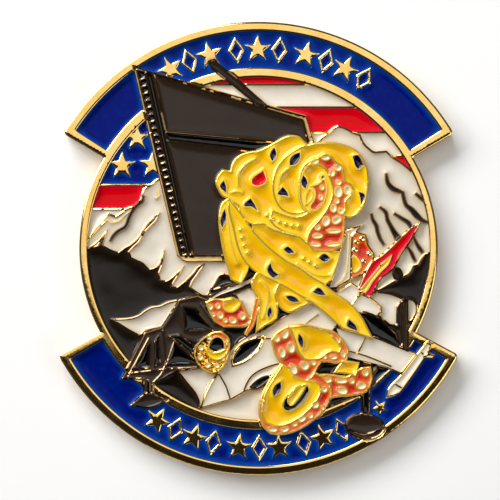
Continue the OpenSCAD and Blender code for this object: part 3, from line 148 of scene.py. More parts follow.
def smooth_outline(points, edges):
    """The outline with curves through its corners where it turns gently, sampled finely."""
    meets = {}
    for a, b in edges:
        meets.setdefault(a, []).append(b)
        meets.setdefault(b, []).append(a)

    def tangent(a, b):
        """Direction of the outline at a, going towards b."""
        ahead = points[b] - points[a]
        length = np.hypot(*ahead)
        ahead = ahead / length
        best = None
        for c in meets[a]:
            if c == b:
                continue
            back = points[a] - points[c]
            other = np.hypot(*back)
            turn = math.acos(max(-1, min(1, float(ahead @ back) / other)))
            if best is None or turn < best[0]:
                best = (turn, other, back / other)
        if best is None or length > LONGEST_CURVE_EDGE:
            return ahead
        turn, other, back = best
        if other > LONGEST_CURVE_EDGE:
            return back if turn < STRAIGHT_TURN else ahead
        if turn > SMOOTH_TURN:
            return ahead
        mixed = ahead * other + back * length
        return mixed / np.hypot(*mixed)

    new_points = [tuple(p) for p in points]
    new_edges = []
    for a, b in edges:
        p, q = points[a], points[b]
        length = np.hypot(*(q - p))
        leaving, arriving = tangent(a, b), tangent(b, a)
        step = CURVE_SAMPLE if length <= LONGEST_CURVE_EDGE else STRAIGHT_SAMPLE
        count = max(1, math.ceil(length / step))
        chain = [a]
        for k in range(1, count):
            t = k / count
            h = (2 * t**3 - 3 * t**2 + 1, t**3 - 2 * t**2 + t, -2 * t**3 + 3 * t**2, t**3 - t**2)
            spot = h[0] * p + h[1] * length * leaving + h[2] * q - h[3] * length * arriving
            chain.append(len(new_points))
            new_points.append(tuple(spot))
        chain.append(b)
        new_edges += list(zip(chain[:-1], chain[1:]))
    return np.array(new_points), np.array(new_edges)


TREE_SPACING = 0.03


def dense_tree(points, edges):
    """A tree of closely spaced spots along the outline, for distances to it."""
    p, q = points[edges[:, 0]], points[edges[:, 1]]
    counts = np.maximum(1, np.ceil(np.hypot(*(q - p).T) / TREE_SPACING)).astype(int)
    spots = np.concatenate([a + (b - a) * (np.arange(n)[:, None] / n) for a, b, n in zip(p, q, counts)])
    tree = KDTree(len(spots))
    for k, s in enumerate(spots):
        tree.insert((s[0], s[1], 0), k)
    tree.balance()
    return tree


def distance_to(tree, points):
    return np.array([tree.find((p[0], p[1], 0))[2] for p in points])


FULL_TURN = 2 * math.pi
WIDE_GAP = math.radians(240)  # the outside of a sharp corner, which gets three points
SHARPEST = 0.3  # the least sine of half a gap that a point is set back for
CROWDED = 0.68  # a point this share of its distance from another line is left out
THIN_SHARE = 0.7  # of the distance, the least gap between two points


def side_points(points, edges, tree, distance):
    """Points at a distance from every outline corner, between its edges, where nothing else is closer."""
    headings = {}
    for a, b in edges:
        along = points[b] - points[a]
        heading = math.atan2(along[1], along[0])
        headings.setdefault(a, []).append(heading)
        headings.setdefault(b, []).append(heading + math.pi)
    made = []
    for v, found in headings.items():
        found = sorted(heading % FULL_TURN for heading in found)
        for k, start in enumerate(found):
            gap = (found[(k + 1) % len(found)] - start) % FULL_TURN or FULL_TURN
            if gap > WIDE_GAP:
                turns = (math.pi / 2, gap / 2, gap - math.pi / 2)
            else:
                turns = (gap / 2,)
            reach = distance / max(SHARPEST, math.sin(min(gap, math.pi) / 2))
            for turn in turns:
                toward = np.array([math.cos(start + turn), math.sin(start + turn)])
                made.append(points[v] + reach * toward)
    made = np.array(made)
    return made[distance_to(tree, made) > CROWDED * distance]


def thinned(points, gap):
    """The points without those that lie closer than gap to an earlier one."""
    tree = KDTree(len(points))
    for k, p in enumerate(points):
        tree.insert((p[0], p[1], 0), k)
    tree.balance()
    kept = np.ones(len(points), bool)
    for k, p in enumerate(points):
        if kept[k]:
            for _, other, _ in tree.find_range((p[0], p[1], 0), gap):
                if other > k:
                    kept[other] = False
    return points[kept]


def hex_points(low, high, spacing):
    """Points over the box in staggered rows."""
    rows = np.arange(low[1], high[1], spacing * math.sqrt(3) / 2)
    columns = np.arange(low[0], high[0], spacing)
    x, y = np.meshgrid(columns, rows)
    x = x + (np.arange(len(rows)) % 2)[:, None] * spacing / 2
    return np.stack([x.ravel(), y.ravel()], axis=1)


# ---- Regions: the areas between outlines, each metal, enamel or outside ----


def flood(triangles, fixed, seeds=None):
    """A number for each triangle, the same all over each area that fixed edges close off. seeds gives the
    number for the left side of some fixed edges."""
    walls = {tuple(sorted(e)) for e in fixed.tolist()}
    sides = {}
    rows = triangles.tolist()
    for t, (i, j, k) in enumerate(rows):
        for e in ((i, j), (j, k), (k, i)):
            sides[e] = t
    number = [-1] * len(rows)
    if seeds is None:
        starts = [(t, None) for t in range(len(rows))]
    else:
        starts = [(sides[e], value) for e, value in seeds.items() if e in sides]
    found = 0
    for start, value in starts:
        if number[start] >= 0:
            continue
        if value is None:
            value, found = found, found + 1
        number[start] = value
        stack = [start]
        while stack:
            i, j, k = rows[stack.pop()]
            for a, b in ((i, j), (j, k), (k, i)):
                if (a, b) in walls or (b, a) in walls:
                    continue
                other = sides.get((b, a))
                if other is not None and number[other] < 0:
                    number[other] = value
                    stack.append(other)
    return np.array(number)


def area_of(points, triangles):
    a, b, c = (points[triangles[:, k]] for k in range(3))
    return cross(b - a, c - a) / 2


def name_regions(points, triangles, number, probe):
    """What each region is, by a vote of its triangles weighted by area."""
    areas = area_of(points, triangles)
    centres = points[triangles].mean(axis=1)
    votes = [{} for _ in range(number.max() + 1)]
    for n, area, centre in zip(number, areas, centres):
        label = probe(centre)
        votes[n][label] = votes[n].get(label, 0) + area
    return [max(v, key=v.get) for v in votes]


def merged(number, labels):
    """Region numbers renewed so that a number stands for one label."""
    kinds = sorted(set(labels), key=str)
    lookup = np.array([kinds.index(label) for label in labels])
    return lookup[number], kinds


class Sheet:
    """A plane drawing laid out as fine triangles in named regions."""

    def __init__(self, corners, edges, probe, rings, spacing, clearance):
        self.plain_points, self.plain_triangles, fixed, moved = triangulate(corners, edges)
        self.moved_corners = moved
        number = flood(self.plain_triangles, fixed)
        labels = name_regions(self.plain_points, self.plain_triangles, number, probe)
        self.plain_region, self.kinds = merged(number, labels)
        seeds = {}
        for (i, j, k), n in zip(self.plain_triangles.tolist(), self.plain_region.tolist()):
            for e in ((i, j), (j, k), (k, i)):
                seeds[e] = n
        border = [(a, b) for a, b in fixed.tolist() if seeds.get((a, b)) != seeds.get((b, a))]
        border = np.array(border)
        tree = dense_tree(self.plain_points, border)
        beside = {d: side_points(self.plain_points, border, tree, d) for d in rings}
        extra = [thinned(spots, THIN_SHARE * d) for d, spots in beside.items()]
        fill = hex_points(self.plain_points.min(0), self.plain_points.max(0), spacing)
        extra.append(fill[distance_to(tree, fill) > clearance])
        every = np.concatenate([self.plain_points, *extra])
        self.points, self.triangles, self.border, moved = triangulate(every, border)
        self.to_fine = np.array([moved[k] for k in range(len(self.plain_points))])
        fine_seeds = {}
        for a, b in border.tolist():
            for e in ((a, b), (b, a)):
                if e in seeds:
                    fine_seeds[(moved[e[0]], moved[e[1]])] = seeds[e]
        self.region = flood(self.triangles, self.border, fine_seeds)
        self.distance = distance_to(tree, self.points)
        self.distance[self.border.ravel()] = 0
        self.side = {}
        for (i, j, k), n in zip(self.triangles.tolist(), self.region.tolist()):
            for e in ((i, j), (j, k), (k, i)):
                self.side[e] = n

    def triangles_of(self, n):
        return self.triangles[self.region == n]

    def plain_triangles_of(self, n):
        return self.to_fine[self.plain_triangles[self.plain_region == n]]


coin_points, coin_triangles = corners_and_triangles(CASTING)
coin_tree, _ = ray_tree([CASTING])
enamel_tree, enamel_owner = ray_tree(ENAMELS)
DOWN = Vector((0, 0, -1))
UP = Vector((0, 0, 1))
PROBE_HEIGHT = 10
OUTSIDE = ("outside", None, 0)


def probe_front(spot):
    """What is on top at a spot: the kind, the enamel's node, and the metal's height there."""
    start = Vector((spot[0], spot[1], PROBE_HEIGHT))
    metal = coin_tree.ray_cast(start, DOWN)[0]
    if metal is None:
        return OUTSIDE
    top, _, face, _ = enamel_tree.ray_cast(start, DOWN)
    if top is not None and top.z > metal.z:
        return ("enamel", enamel_owner[face], round(metal.z, 3))
    return ("metal", None, round(metal.z, 3))


# Where the drawing gets points: at these distances from its lines, and at this spacing elsewhere, no
# nearer to a line than the clearance
RINGS = (0.13, 0.3)
FILL_SPACING = 0.3
FILL_CLEARANCE = 0.42
BACK_RINGS = (0.12, 0.3)
BACK_SPACING = 1.5
BACK_CLEARANCE = 0.8

front_corners, front_edges = wall_outline(coin_points, coin_triangles, lambda low, high: high > BACK_CLEAR)
plane, _, fixed, _ = triangulate(front_corners, front_edges)
plane, fixed = smooth_outline(plane, fixed)
front = Sheet(plane, fixed, probe_front, RINGS, FILL_SPACING, FILL_CLEARANCE)
outside = front.kinds.index(OUTSIDE)


def rim_edges(sheet, outside):
    """The outer edges of the coin, with the coin on their left."""
    return [
        e for a, b in sheet.border.tolist() for e in ((a, b), (b, a))
        if sheet.side.get(e[::-1], outside) == outside and sheet.side.get(e, outside) != outside
    ]


silhouette = rim_edges(front, outside)


def probe_back(spot):
    """What is lowest at a spot, seen from below."""
    hit = coin_tree.ray_cast(Vector((spot[0], spot[1], -PROBE_HEIGHT)), UP)[0]
    return OUTSIDE if hit is None else ("metal", None, round(hit.z, 3))


back_corners, back_edges = wall_outline(coin_points, coin_triangles, lambda low, high: high < BACK_CLEAR)
recess, _, recess_edges, _ = triangulate(back_corners, back_edges)
recess, recess_edges = smooth_outline(recess, recess_edges)
rim_corners = sorted({v for e in silhouette for v in e})
rim_place = {v: k for k, v in enumerate(rim_corners)}
rim_rows = np.array([(rim_place[a], rim_place[b]) for a, b in silhouette])
back_start = np.concatenate([front.points[rim_corners], recess])
back_fixed = np.concatenate([rim_rows, recess_edges + len(rim_corners)])
back = Sheet(back_start, back_fixed, probe_back, BACK_RINGS, BACK_SPACING, BACK_CLEARANCE)
back_outside = back.kinds.index(OUTSIDE)

# ---- Heights ----

EDGE_DROP = 0.08  # every metal edge is rounded down by this, over the reach
EDGE_REACH = 0.13
EDGE_CURVE, CLIFF_CURVE, RIM_CURVE = 2, 1.5, 2.5  # the power of the distance by which each rounds off
CLIFF_STEP = 0.3  # a wall at least this high has a sloping shoulder
CLIFF_DROP = 0.24
CLIFF_REACH = 0.3
RAISED_LEVEL = 2.95  # metal above this is the panel's, the truss's, the jet's or the animal's
COVE_DEPTH = 0.15  # how far wide bands of it dip between their edges
COVE_START, COVE_END = 0.13, 0.3
RIM_DROP = 0.16  # the rounding of the coin's outer edge
RIM_REACH = 0.42
SIDE_FOOT = 0.12  # the height at which the coin's side turns under
FOOT_REACH = 0.3
DOME_AREA = 2.2  # a smaller island of the top metal is a bead
DOME_RISE = 0.22
DOME_SLOPE = 0.8  # of a bead's half width, the most that it rises
NOT_ZERO = 1e-6  # stands in for a width, an area or a share of nothing
SOLVER_STEPS = 400
SOLVED = 1e-10
LEAST_AREA = 1e-9
LEAST_PUSH = 1e-30
LEAST_WEIGHT, MOST_WEIGHT = 0.01, 20
# How enamel lies in its cell, by material, in mm: how far its edge climbs the wall, over what reach, and
# the height and the size of the soft relief under it
LIE = {
    "yellow_enamel": (0.55, 0.8, 0.2, 1.5), "snow_enamel": (0.48, 0.7, 0.14, 2.4),
    "cream_enamel": (0.28, 0.22, 0, 1), "white_enamel": (0.4, 0.7, 0.05, 3),
    "orange_enamel": (0.4, 0.4, 0.06, 1.2), "rock_enamel": (0.34, 0.5, 0.08, 3.5),
    "red_enamel": (0.3, 0.45, 0, 1), "royal_blue_enamel": (0.3, 0.45, 0, 1),
}
USUAL_LIE = (0.26, 0.36, 0, 1)
LEAST_FILL = 0.04
DEEPEST = 0.88  # of the fill's thickness, the most that its middle sinks
STEEPEST = 0.6  # of a cell's half width, the most that its middle sinks
RELIEF_LIFT = 0.35
RING_LEVEL = 2.9  # the metal of the rim and ring
# Beside the dark enamels the raised lines, other than the rim and ring, are painted dark brown: a painted
# dark reflection, standing in for the dark that the polished gold reflects there
DARK_ENAMELS = ("taupe_enamel", "black_enamel", "rock_enamel")
UNDARKENED_NODES = ("jet", "curl")  # dark enamel nodes whose names start so get no painted dark reflection beside them
# How far from the dark enamels the painted dark reflection on the gold reaches, in mm
PAINTED_DARK_REACH = 0.8

slot_of = {row["node"]: row["material_slot"] for row in frame["record"]["subparts"]}


def meniscus(points, triangles, fixed_corners, reach):
    """1 at the fixed corners, dying away smoothly over the reach at each corner."""
    used = np.unique(triangles)
    place = np.full(len(points), -1)
    place[used] = np.arange(len(used))
    rows = place[triangles]
    free = np.ones(len(used), bool)
    held = place[fixed_corners]
    free[held[held >= 0]] = False
    share = np.zeros(len(used))
    firsts, seconds, weights = [], [], []
    for k in range(3):
        i, j, l = rows[:, k], rows[:, (k + 1) % 3], rows[:, (k + 2) % 3]
        u = points[used[j]] - points[used[i]]
        v = points[used[l]] - points[used[i]]
        twice = np.maximum(np.abs(cross(u, v)), LEAST_AREA)
        share += np.bincount(i, twice / 6, len(used))
        firsts.append(j)
        seconds.append(l)
        weights.append(np.clip((u * v).sum(1) / twice, LEAST_WEIGHT, MOST_WEIGHT) / 2)
    a, b, w = np.concatenate(firsts), np.concatenate(seconds), np.concatenate(weights)
    own = np.bincount(a, w, len(used)) + np.bincount(b, w, len(used)) + share / reach[used] ** 2

    def apply(h):
        return own * h - np.bincount(a, w * h[b], len(used)) - np.bincount(b, w * h[a], len(used))

    height = np.where(free, 0.0, 1.0)
    rest = np.where(free, -apply(height), 0)
    scaled = rest / own
    step, strength = scaled.copy(), rest @ scaled
    for _ in range(SOLVER_STEPS):
        pushed = np.where(free, apply(step), 0)
        part = strength / max(step @ pushed, LEAST_PUSH)
        height += part * step
        rest -= part * pushed
        scaled = rest / own
        before, strength = strength, rest @ scaled
        if strength < SOLVED:
            break
        step = scaled + strength / before * step
    full = np.ones(len(points))
    full[used] = np.clip(height, 0, 1)
    return full


def lie_of(node):
    """How the node's enamel lies in its cell: a row of LIE."""
    return LIE.get(slot_of[node], USUAL_LIE)


enamel_kinds = [n for n, kind in enumerate(front.kinds) if kind[0] == "enamel"]
border_corners = np.unique(front.border)
reach = np.ones(len(front.points))
for n in enamel_kinds:
    reach[front.triangles_of(n)] = lie_of(front.kinds[n][1])[1]
wetting = meniscus(front.points, front.triangles[np.isin(front.region, enamel_kinds)], border_corners, reach)


def flat_level(name):
    """The height of the node's lowest upward-facing flat."""
    points, triangles = corners_and_triangles(name)
    a, b, c = (points[triangles[:, k]] for k in range(3))
    upward = np.cross(b - a, c - a)[:, 2] > NOT_ZERO
    return float(points[triangles[upward]][:, :, 2].min())


dark_kinds = []
for n in enamel_kinds:
    node = front.kinds[n][1]
    if slot_of[node] in DARK_ENAMELS and not node.startswith(UNDARKENED_NODES):
        dark_kinds.append(n)
dark_edges = []
for (a, b), n in front.side.items():
    if n in dark_kinds and front.side.get((b, a)) not in dark_kinds:
        dark_edges.append((a, b))
dark_distance = distance_to(dense_tree(front.points, np.array(dark_edges)), front.points)
undarkened = np.clip(dark_distance / PAINTED_DARK_REACH, 0, 1)  # 0 where the gold is fully painted dark (painted dark reflection), 1 where it is not

rim_tree = dense_tree(front.points, np.array(silhouette))
rim_distance = distance_to(rim_tree, front.points)
edge_drop = EDGE_DROP * np.clip(1 - front.distance / EDGE_REACH, 0, 1) ** EDGE_CURVE
rim_drop = RIM_DROP * np.clip(1 - rim_distance / RIM_REACH, 0, 1) ** RIM_CURVE


def plain_height(n):
    """The CAD model's height in a region, enamel counted as full."""
    kind, node, level = front.kinds[n]
    return flat_level(node) if kind == "enamel" else level


plain_heights = [plain_height(n) for n in range(len(front.kinds))]


def cliff_distance(level):
    """Distance of every corner from the edges where metal of this level stands well above its neighbour."""
    edges = []
    for a, b in front.border.tolist():
        sides = [front.side.get(e, outside) for e in ((a, b), (b, a))]
        upper, lower = sorted(sides, key=lambda n: -plain_heights[n])
        tall = plain_heights[upper] - plain_heights[lower] > CLIFF_STEP
        if tall and lower != outside and front.kinds[upper] == ("metal", None, level):
            edges.append((a, b))
    if not edges:
        return np.full(len(front.points), CLIFF_REACH)
    return distance_to(dense_tree(front.points, np.array(edges)), front.points)


def metal_heights(level):
    """The metal's top at every corner, for metal of this level."""
    steep = level > RAISED_LEVEL
    shoulder = 0
    if steep:
        shoulder = CLIFF_DROP * np.clip(1 - cliff_distance(level) / CLIFF_REACH, 0, 1) ** CLIFF_CURVE
    heights = level - np.maximum(np.maximum(edge_drop, rim_drop), shoulder)
    if steep:
        share = np.clip((front.distance - COVE_START) / (COVE_END - COVE_START), 0, 1)
        heights -= COVE_DEPTH * share * share * (3 - 2 * share)
    return heights


def dome_heights(level, points, triangles):
    """Beads: every small island of the top metal rises to a dome."""
    heights = metal_heights(level)
    number = flood(triangles, front.border)
    areas = np.bincount(number, area_of(points, triangles))
    for n in np.flatnonzero(areas < DOME_AREA):
        corners = np.unique(triangles[number == n])
        deepest = max(front.distance[corners].max(), NOT_ZERO)
        share = front.distance[corners] / deepest
        rise = min(DOME_RISE, DOME_SLOPE * deepest)
        heights[corners] = level - EDGE_DROP + rise * (1 - (1 - share) ** 2)
    return heights


def enamel_heights(node, triangles):
    """The top of the fill at every corner of these triangles. Each cell dips as far as its width allows."""
    climb, _, relief, size = lie_of(node)
    full = flat_level(node)
    floor = min(kind[2] for kind in front.kinds if kind[1] == node)
    heights = np.full(len(front.points), full)
    number = flood(triangles, front.border)
    for n in range(number.max() + 1):
        corners = np.unique(triangles[number == n])
        dry = 1 - wetting[corners]
        dip = min(climb, DEEPEST * (full - floor), STEEPEST * front.distance[corners].max())
        heights[corners] -= dip * dry / max(dry.max(), NOT_ZERO)
        if relief:
            for v, share in zip(corners, dry):
                spot = Vector((front.points[v][0], front.points[v][1], 0)) / size
                heights[v] += relief * (noise.noise(spot) + RELIEF_LIFT) * share
    return np.clip(heights, floor + LEAST_FILL, full)


surface = {}
top_level = max(kind[2] for kind in front.kinds)
for n, (kind, node, level) in enumerate(front.kinds):
    if kind == "metal" and level == top_level:
        surface[n] = dome_heights(level, front.points, front.triangles_of(n))
    elif kind == "metal":
        surface[n] = metal_heights(level)
    else:
        surface[n] = np.full(len(front.points), level if kind == "enamel" else SIDE_FOOT)

# ---- Meshes ----

TONE = "tone"  # on enamel 0 in the middle of a cell and 1 at its wall, on metal 0 where the gold is fully painted dark
SLIVER_SIDES = 8
BACK, RIDGE = 1, 2  # the casting's other two finishes


class Shell:
    """A mesh under construction, whose corners are shared by place."""

    def __init__(self):
        self.corners, self.place, self.faces, self.slots, self.tones = [], {}, [], [], []

    def corner(self, key, x, y, z, tone=1.0):
        key = (key, round(z, 5))
        if key not in self.place:
            self.place[key] = len(self.corners)
            self.corners.append((x * MM, y * MM, z * MM))
            self.tones.append(tone)
        return self.place[key]

    def face(self, corners, slot=0):
        if len(set(corners)) > 2:
            self.faces.append(corners)
            self.slots.append(slot)

    def build(self, name, materials, sharp):
        mesh = bpy.data.meshes.new(name)
        mesh.from_pydata(self.corners, [], self.faces)
        for m in materials:
            mesh.materials.append(m)
        mesh.polygons.foreach_set("material_index", self.slots)
        mesh.attributes.new(TONE, "FLOAT", "POINT").data.foreach_set("value", self.tones)
        shape = bmesh.new()
        shape.from_mesh(mesh)
        open_edges = [e for e in shape.edges if e.is_boundary]
        bmesh.ops.holes_fill(shape, edges=open_edges, sides=SLIVER_SIDES)
        shape.to_mesh(mesh)
        shape.free()
        mesh.polygons.foreach_set("use_smooth", [True] * len(mesh.polygons))
        mesh.update()
        mesh.set_sharp_from_angle(angle=sharp)
        piece = bpy.data.objects.new(name, mesh)
        bpy.context.scene.collection.objects.link(piece)
        return piece


on_border = set(border_corners.tolist())
back_rim_distance = distance_to(rim_tree, back.points)
rim_front = {}  # the front's corner above each corner of the back's rim
for k, v in enumerate(rim_corners):
    rim_front[int(back.to_fine[back.moved_corners[k]])] = v


def back_at(shell, at, back_points, v, level):
    """The shell's corner at a corner of the back. On the rim it is the foot of the coin's side."""
    if v in rim_front:
        return at(rim_front[v], SIDE_FOOT)
    drop = SIDE_FOOT * max(0, 1 - back_rim_distance[v] / FOOT_REACH) ** 2 if level == 0 else 0
    return shell.corner(("back", v), back_points[v][0], back_points[v][1], level + drop)


def casting_shell():
    """The plated casting: its tops, the floors under the enamel, its walls and its back."""
    shell = Shell()
    points = front.points.tolist()

    # Raised metal other than the rim, ring and top relief carries the painted dark reflection beside the
    # dark enamels
    painted_dark_corners = {}
    for n, (kind, _, level) in enumerate(front.kinds):
        if kind == "metal" and level not in (RING_LEVEL, top_level):
            for v in np.unique(front.triangles_of(n)).tolist():
                painted_dark_corners[v] = float(undarkened[v])

    def at(v, z):
        return shell.corner(v, points[v][0], points[v][1], z, painted_dark_corners.get(v, 1.0))

    for n, (kind, _, level) in enumerate(front.kinds):
        if kind == "outside":
            continue
        heights = surface[n]
        rows = front.triangles_of(n) if kind == "metal" else front.plain_triangles_of(n)
        slot = RIDGE if kind == "metal" and level == top_level else 0
        for row in rows.tolist():
            shell.face([at(v, float(heights[v])) for v in row], slot)

    column = {}
    for (a, b), n in front.side.items():
        if a in on_border or b in on_border:
            for v in (a, b):
                if v in on_border:
                    column.setdefault(v, set()).add(round(float(surface[n][v]), 5))
    for a, b in silhouette:
        for v in (a, b):
            column[v].add(SIDE_FOOT)

    def between(v, start, end):
        """The heights of the column at v, from start to end."""
        heights = [z for z in sorted(column[v]) if min(start, end) <= z <= max(start, end)]
        return heights if start <= end else heights[::-1]

    for a, b in front.border.tolist():
        left, right = front.side.get((a, b), outside), front.side.get((b, a), outside)
        za, zb = (round(float(surface[left][v]), 5) for v in (a, b))
        ya, yb = (round(float(surface[right][v]), 5) for v in (a, b))
        along_b = [at(b, z) for z in between(b, yb, zb)]
        along_a = [at(a, z) for z in between(a, za, ya)]
        shell.face(along_b + along_a)

    back_points = back.points.tolist()
    for n, (kind, _, level) in enumerate(back.kinds):
        if kind == "outside":
            continue
        for row in back.triangles_of(n).tolist():
            slot = BACK if level > 0 else 0
            shell.face([back_at(shell, at, back_points, v, level) for v in reversed(row)], slot)
    for a, b in back.border.tolist():
        left, right = back.side.get((a, b), back_outside), back.side.get((b, a), back_outside)
        if back_outside in (left, right):
            continue
        if back.kinds[left][2] < back.kinds[right][2]:
            a, b, left, right = b, a, right, left
        low, high = back.kinds[right][2], back.kinds[left][2]
        corners = [(b, low), (a, low), (a, high), (b, high)]
        shell.face([back_at(shell, at, back_points, v, z) for v, z in corners], BACK)
    return shell


def enamel_shell(node):
    """The fill of every cell of the node: a dished top, a flat bottom and a wall round each."""
    shell = Shell()
    points = front.points.tolist()
    for n, (kind, name, floor) in enumerate(front.kinds):
        if kind != "enamel" or name != node:
            continue
        rows = front.triangles_of(n)
        corners = np.unique(rows)
        heights = enamel_heights(node, rows)[corners]
        low, high = heights.min(), heights.max()
        top = dict(zip(corners.tolist(), heights.tolist()))
        # The tone, 0 at the cell's lowest and 1 at its highest, steers the wall colour and its painted light
        tone = dict(zip(corners.tolist(), ((heights - low) / (high - low)).tolist()))

        def above(v):
            return shell.corner(v, points[v][0], points[v][1], top[v], tone[v])

        def below(v):
            return shell.corner(v, points[v][0], points[v][1], floor)

        for row in rows.tolist():
            shell.face([above(v) for v in row])
        for row in front.plain_triangles_of(n).tolist():
            shell.face([below(v) for v in reversed(row)])
        for a, b in front.border.tolist():
            for p, q in ((a, b), (b, a)):
                if front.side.get((p, q)) == n and front.side.get((q, p)) != n:
                    shell.face([below(p), below(q), above(q), above(p)])
    return shell


# ---- Materials ----

PER_MM = 1 / MM


class Paint:
    """A material's node tree, with the few kinds of node that are used here."""

    def __init__(self, name, roughness, metallic=0.0, specular=0.5):
        self.material = bpy.data.materials.new(name)
        self.material.use_nodes = True
        self.tree = self.material.node_tree
        self.shader = self.tree.nodes["Principled BSDF"]
        self.shader.inputs["Roughness"].default_value = roughness
        self.shader.inputs["Metallic"].default_value = metallic
        self.shader.inputs["Specular IOR Level"].default_value = specular
        self.place = self.tree.nodes.new("ShaderNodeTexCoord").outputs["Object"]

    def link(self, source, target):
        self.tree.links.new(source, target)

    def noise(self, size, detail=2.0, stretch=None):
        """Cloudy noise whose features are about size mm across."""
        node = self.tree.nodes.new("ShaderNodeTexNoise")
        node.inputs["Scale"].default_value = PER_MM / size
        node.inputs["Detail"].default_value = detail
        source = self.place
        if stretch:
            mapping = self.tree.nodes.new("ShaderNodeMapping")
            mapping.inputs["Scale"].default_value = stretch
            self.link(source, mapping.inputs["Vector"])
            source = mapping.outputs["Vector"]
        self.link(source, node.inputs["Vector"])
        return node.outputs["Fac"]

    def range(self, source, low, high, new_low, new_high):
        node = self.tree.nodes.new("ShaderNodeMapRange")
        for key, value in (("From Min", low), ("From Max", high), ("To Min", new_low), ("To Max", new_high)):
            node.inputs[key].default_value = value
        self.link(source, node.inputs["Value"])
        return node.outputs["Result"]

    def sum(self, first, second):
        node = self.tree.nodes.new("ShaderNodeMath")
        node.operation = "ADD"
        node.use_clamp = True
        self.link(first, node.inputs[0])
        self.link(second, node.inputs[1])
        return node.outputs["Value"]

    def attribute(self, name):
        node = self.tree.nodes.new("ShaderNodeAttribute")
        node.attribute_name = name
        return node.outputs["Fac"]

    def mix(self, factor, first, second):
        node = self.tree.nodes.new("ShaderNodeMix")
        node.data_type = "RGBA"
        self.link(factor, node.inputs["Factor"])
        for key, value in (("A", first), ("B", second)):
            socket = [s for s in node.inputs if s.name == key and s.type == "RGBA"][0]
            if isinstance(value, tuple):
                socket.default_value = (*value, 1)
            else:
                self.link(value, socket)
        return [s for s in node.outputs if s.type == "RGBA"][0]

    def colour(self, source):
        self.link(source, self.shader.inputs["Base Color"])

    def roughness(self, source):
        self.link(source, self.shader.inputs["Roughness"])

    def bump(self, source, depth):
        """Surface unevenness, depth mm between the noise's low and high."""
        node = self.tree.nodes.new("ShaderNodeBump")
        node.inputs["Distance"].default_value = depth * MM
        self.link(source, node.inputs["Height"])
        self.link(node.outputs["Normal"], self.shader.inputs["Normal"])


def linear(red, green, blue):
    """A screen colour, 0 to 255, as linear light."""
    return tuple((c / 255) ** 2.2 for c in (red, green, blue))


def scaled(colour, factor):
    return tuple(min(1.0, c * factor) for c in colour)


GOLD = linear(240, 194, 106)
PALE_GOLD = linear(246, 208, 130)
# The gold beside the dark enamels is painted this dark brown: a painted dark reflection
PAINTED_DARK_GOLD = linear(122, 98, 74)


def polished_gold():
    paint = Paint("polished_gold", 0.09, metallic=1.0)
    broad = paint.noise(4.0, 3)
    metal = paint.mix(paint.range(broad, 0.35, 0.65, 0, 1), GOLD, PALE_GOLD)
    # Beside the dark enamels the gold is mixed towards dark brown: a painted dark reflection
    undarkened_gold_share = paint.range(paint.attribute(TONE), 0.3, 1, 0, 1)
    spread = paint.range(paint.noise(0.7, 3), 0.35, 0.65, -0.1, 0.1)
    paint.colour(paint.mix(paint.sum(undarkened_gold_share, spread), PAINTED_DARK_GOLD, metal))
    paint.roughness(paint.range(paint.noise(2.4, 4), 0.3, 0.7, 0.06, 0.13))
    paint.bump(paint.noise(0.9, 2), 0.004)
    return paint.material


def blasted_gold():
    paint = Paint("blasted_gold", 0.42, metallic=1.0)
    paint.colour(paint.mix(paint.noise(1.5, 4), scaled(GOLD, 0.9), PALE_GOLD))
    paint.roughness(paint.range(paint.noise(0.8, 3), 0.3, 0.7, 0.36, 0.52))
    paint.bump(paint.noise(0.14, 2), 0.03)
    return paint.material


def washed_gold():
    """The fine ridges of the top relief, which the yellow enamel washes over."""
    paint = Paint("washed_gold", 0.24, metallic=0.55, specular=0.5)
    paint.colour(paint.mix(paint.noise(1.2, 3), linear(238, 186, 52), linear(250, 216, 110)))
    paint.roughness(paint.range(paint.noise(0.8, 3), 0.3, 0.7, 0.17, 0.3))
    paint.bump(paint.noise(0.4, 2), 0.006)
    return paint.material


# Enamels: colour in the middle of a cell, colour along its wall, roughness, specular level. The wall colour
# is partly the enamel's thinner layer there and partly painted light: the lighter walls are painted
# highlights on the rising edges, and the darker beige walls of the white and snow enamels are painted shade
ENAMEL_COLOURS = {
    "royal_blue_enamel": (linear(0, 25, 108), linear(10, 78, 174), 0.12, 0.06),
    "red_enamel": (linear(205, 0, 22), linear(222, 30, 60), 0.11, 0.1),
    "white_enamel": (linear(226, 217, 201), linear(208, 192, 162), 0.13, 0.3),
    "snow_enamel": (linear(220, 211, 195), linear(196, 177, 144), 0.13, 0.3),
    "rock_enamel": (linear(26, 20, 14), linear(46, 35, 26), 0.2, 0.28),
    "taupe_enamel": (linear(46, 36, 28), linear(58, 47, 38), 0.2, 0.25),
    "black_enamel": (linear(6, 5, 5), linear(20, 15, 12), 0.1, 0.4),
    "yellow_enamel": (linear(238, 176, 4), linear(250, 210, 24), 0.17, 0.5),
    "orange_enamel": (linear(196, 40, 8), linear(240, 136, 66), 0.13, 0.45),
    "navy_enamel": (linear(2, 4, 26), linear(10, 26, 92), 0.1, 0.45),
    "cream_enamel": (linear(226, 210, 160), linear(250, 240, 200), 0.11, 0.5),
}


def enamel_material(slot):
    middle, wall, roughness, specular = ENAMEL_COLOURS[slot]
    paint = Paint(slot.replace("_enamel", "_gloss"), roughness, specular=specular)
    mottled = paint.mix(paint.noise(1.6, 3), scaled(middle, 0.94), scaled(middle, 1.06))
    # Towards each wall the colour runs to the wall colour: besides the thinner enamel there, a painted
    # highlight on most enamels and painted shade on white and snow
    edge = paint.range(paint.attribute(TONE), 0.25, 1, 0, 0.85)
    spread = paint.range(paint.noise(0.9, 3), 0.35, 0.65, -0.05, 0.05)
    paint.colour(paint.mix(paint.sum(edge, spread), mottled, wall))
    paint.roughness(paint.range(paint.noise(2.2, 3), 0.3, 0.7, 0.75 * roughness, 1.35 * roughness))
    paint.bump(paint.noise(1.3, 2), 0.012)
    return paint.material


# ---- Pieces ----

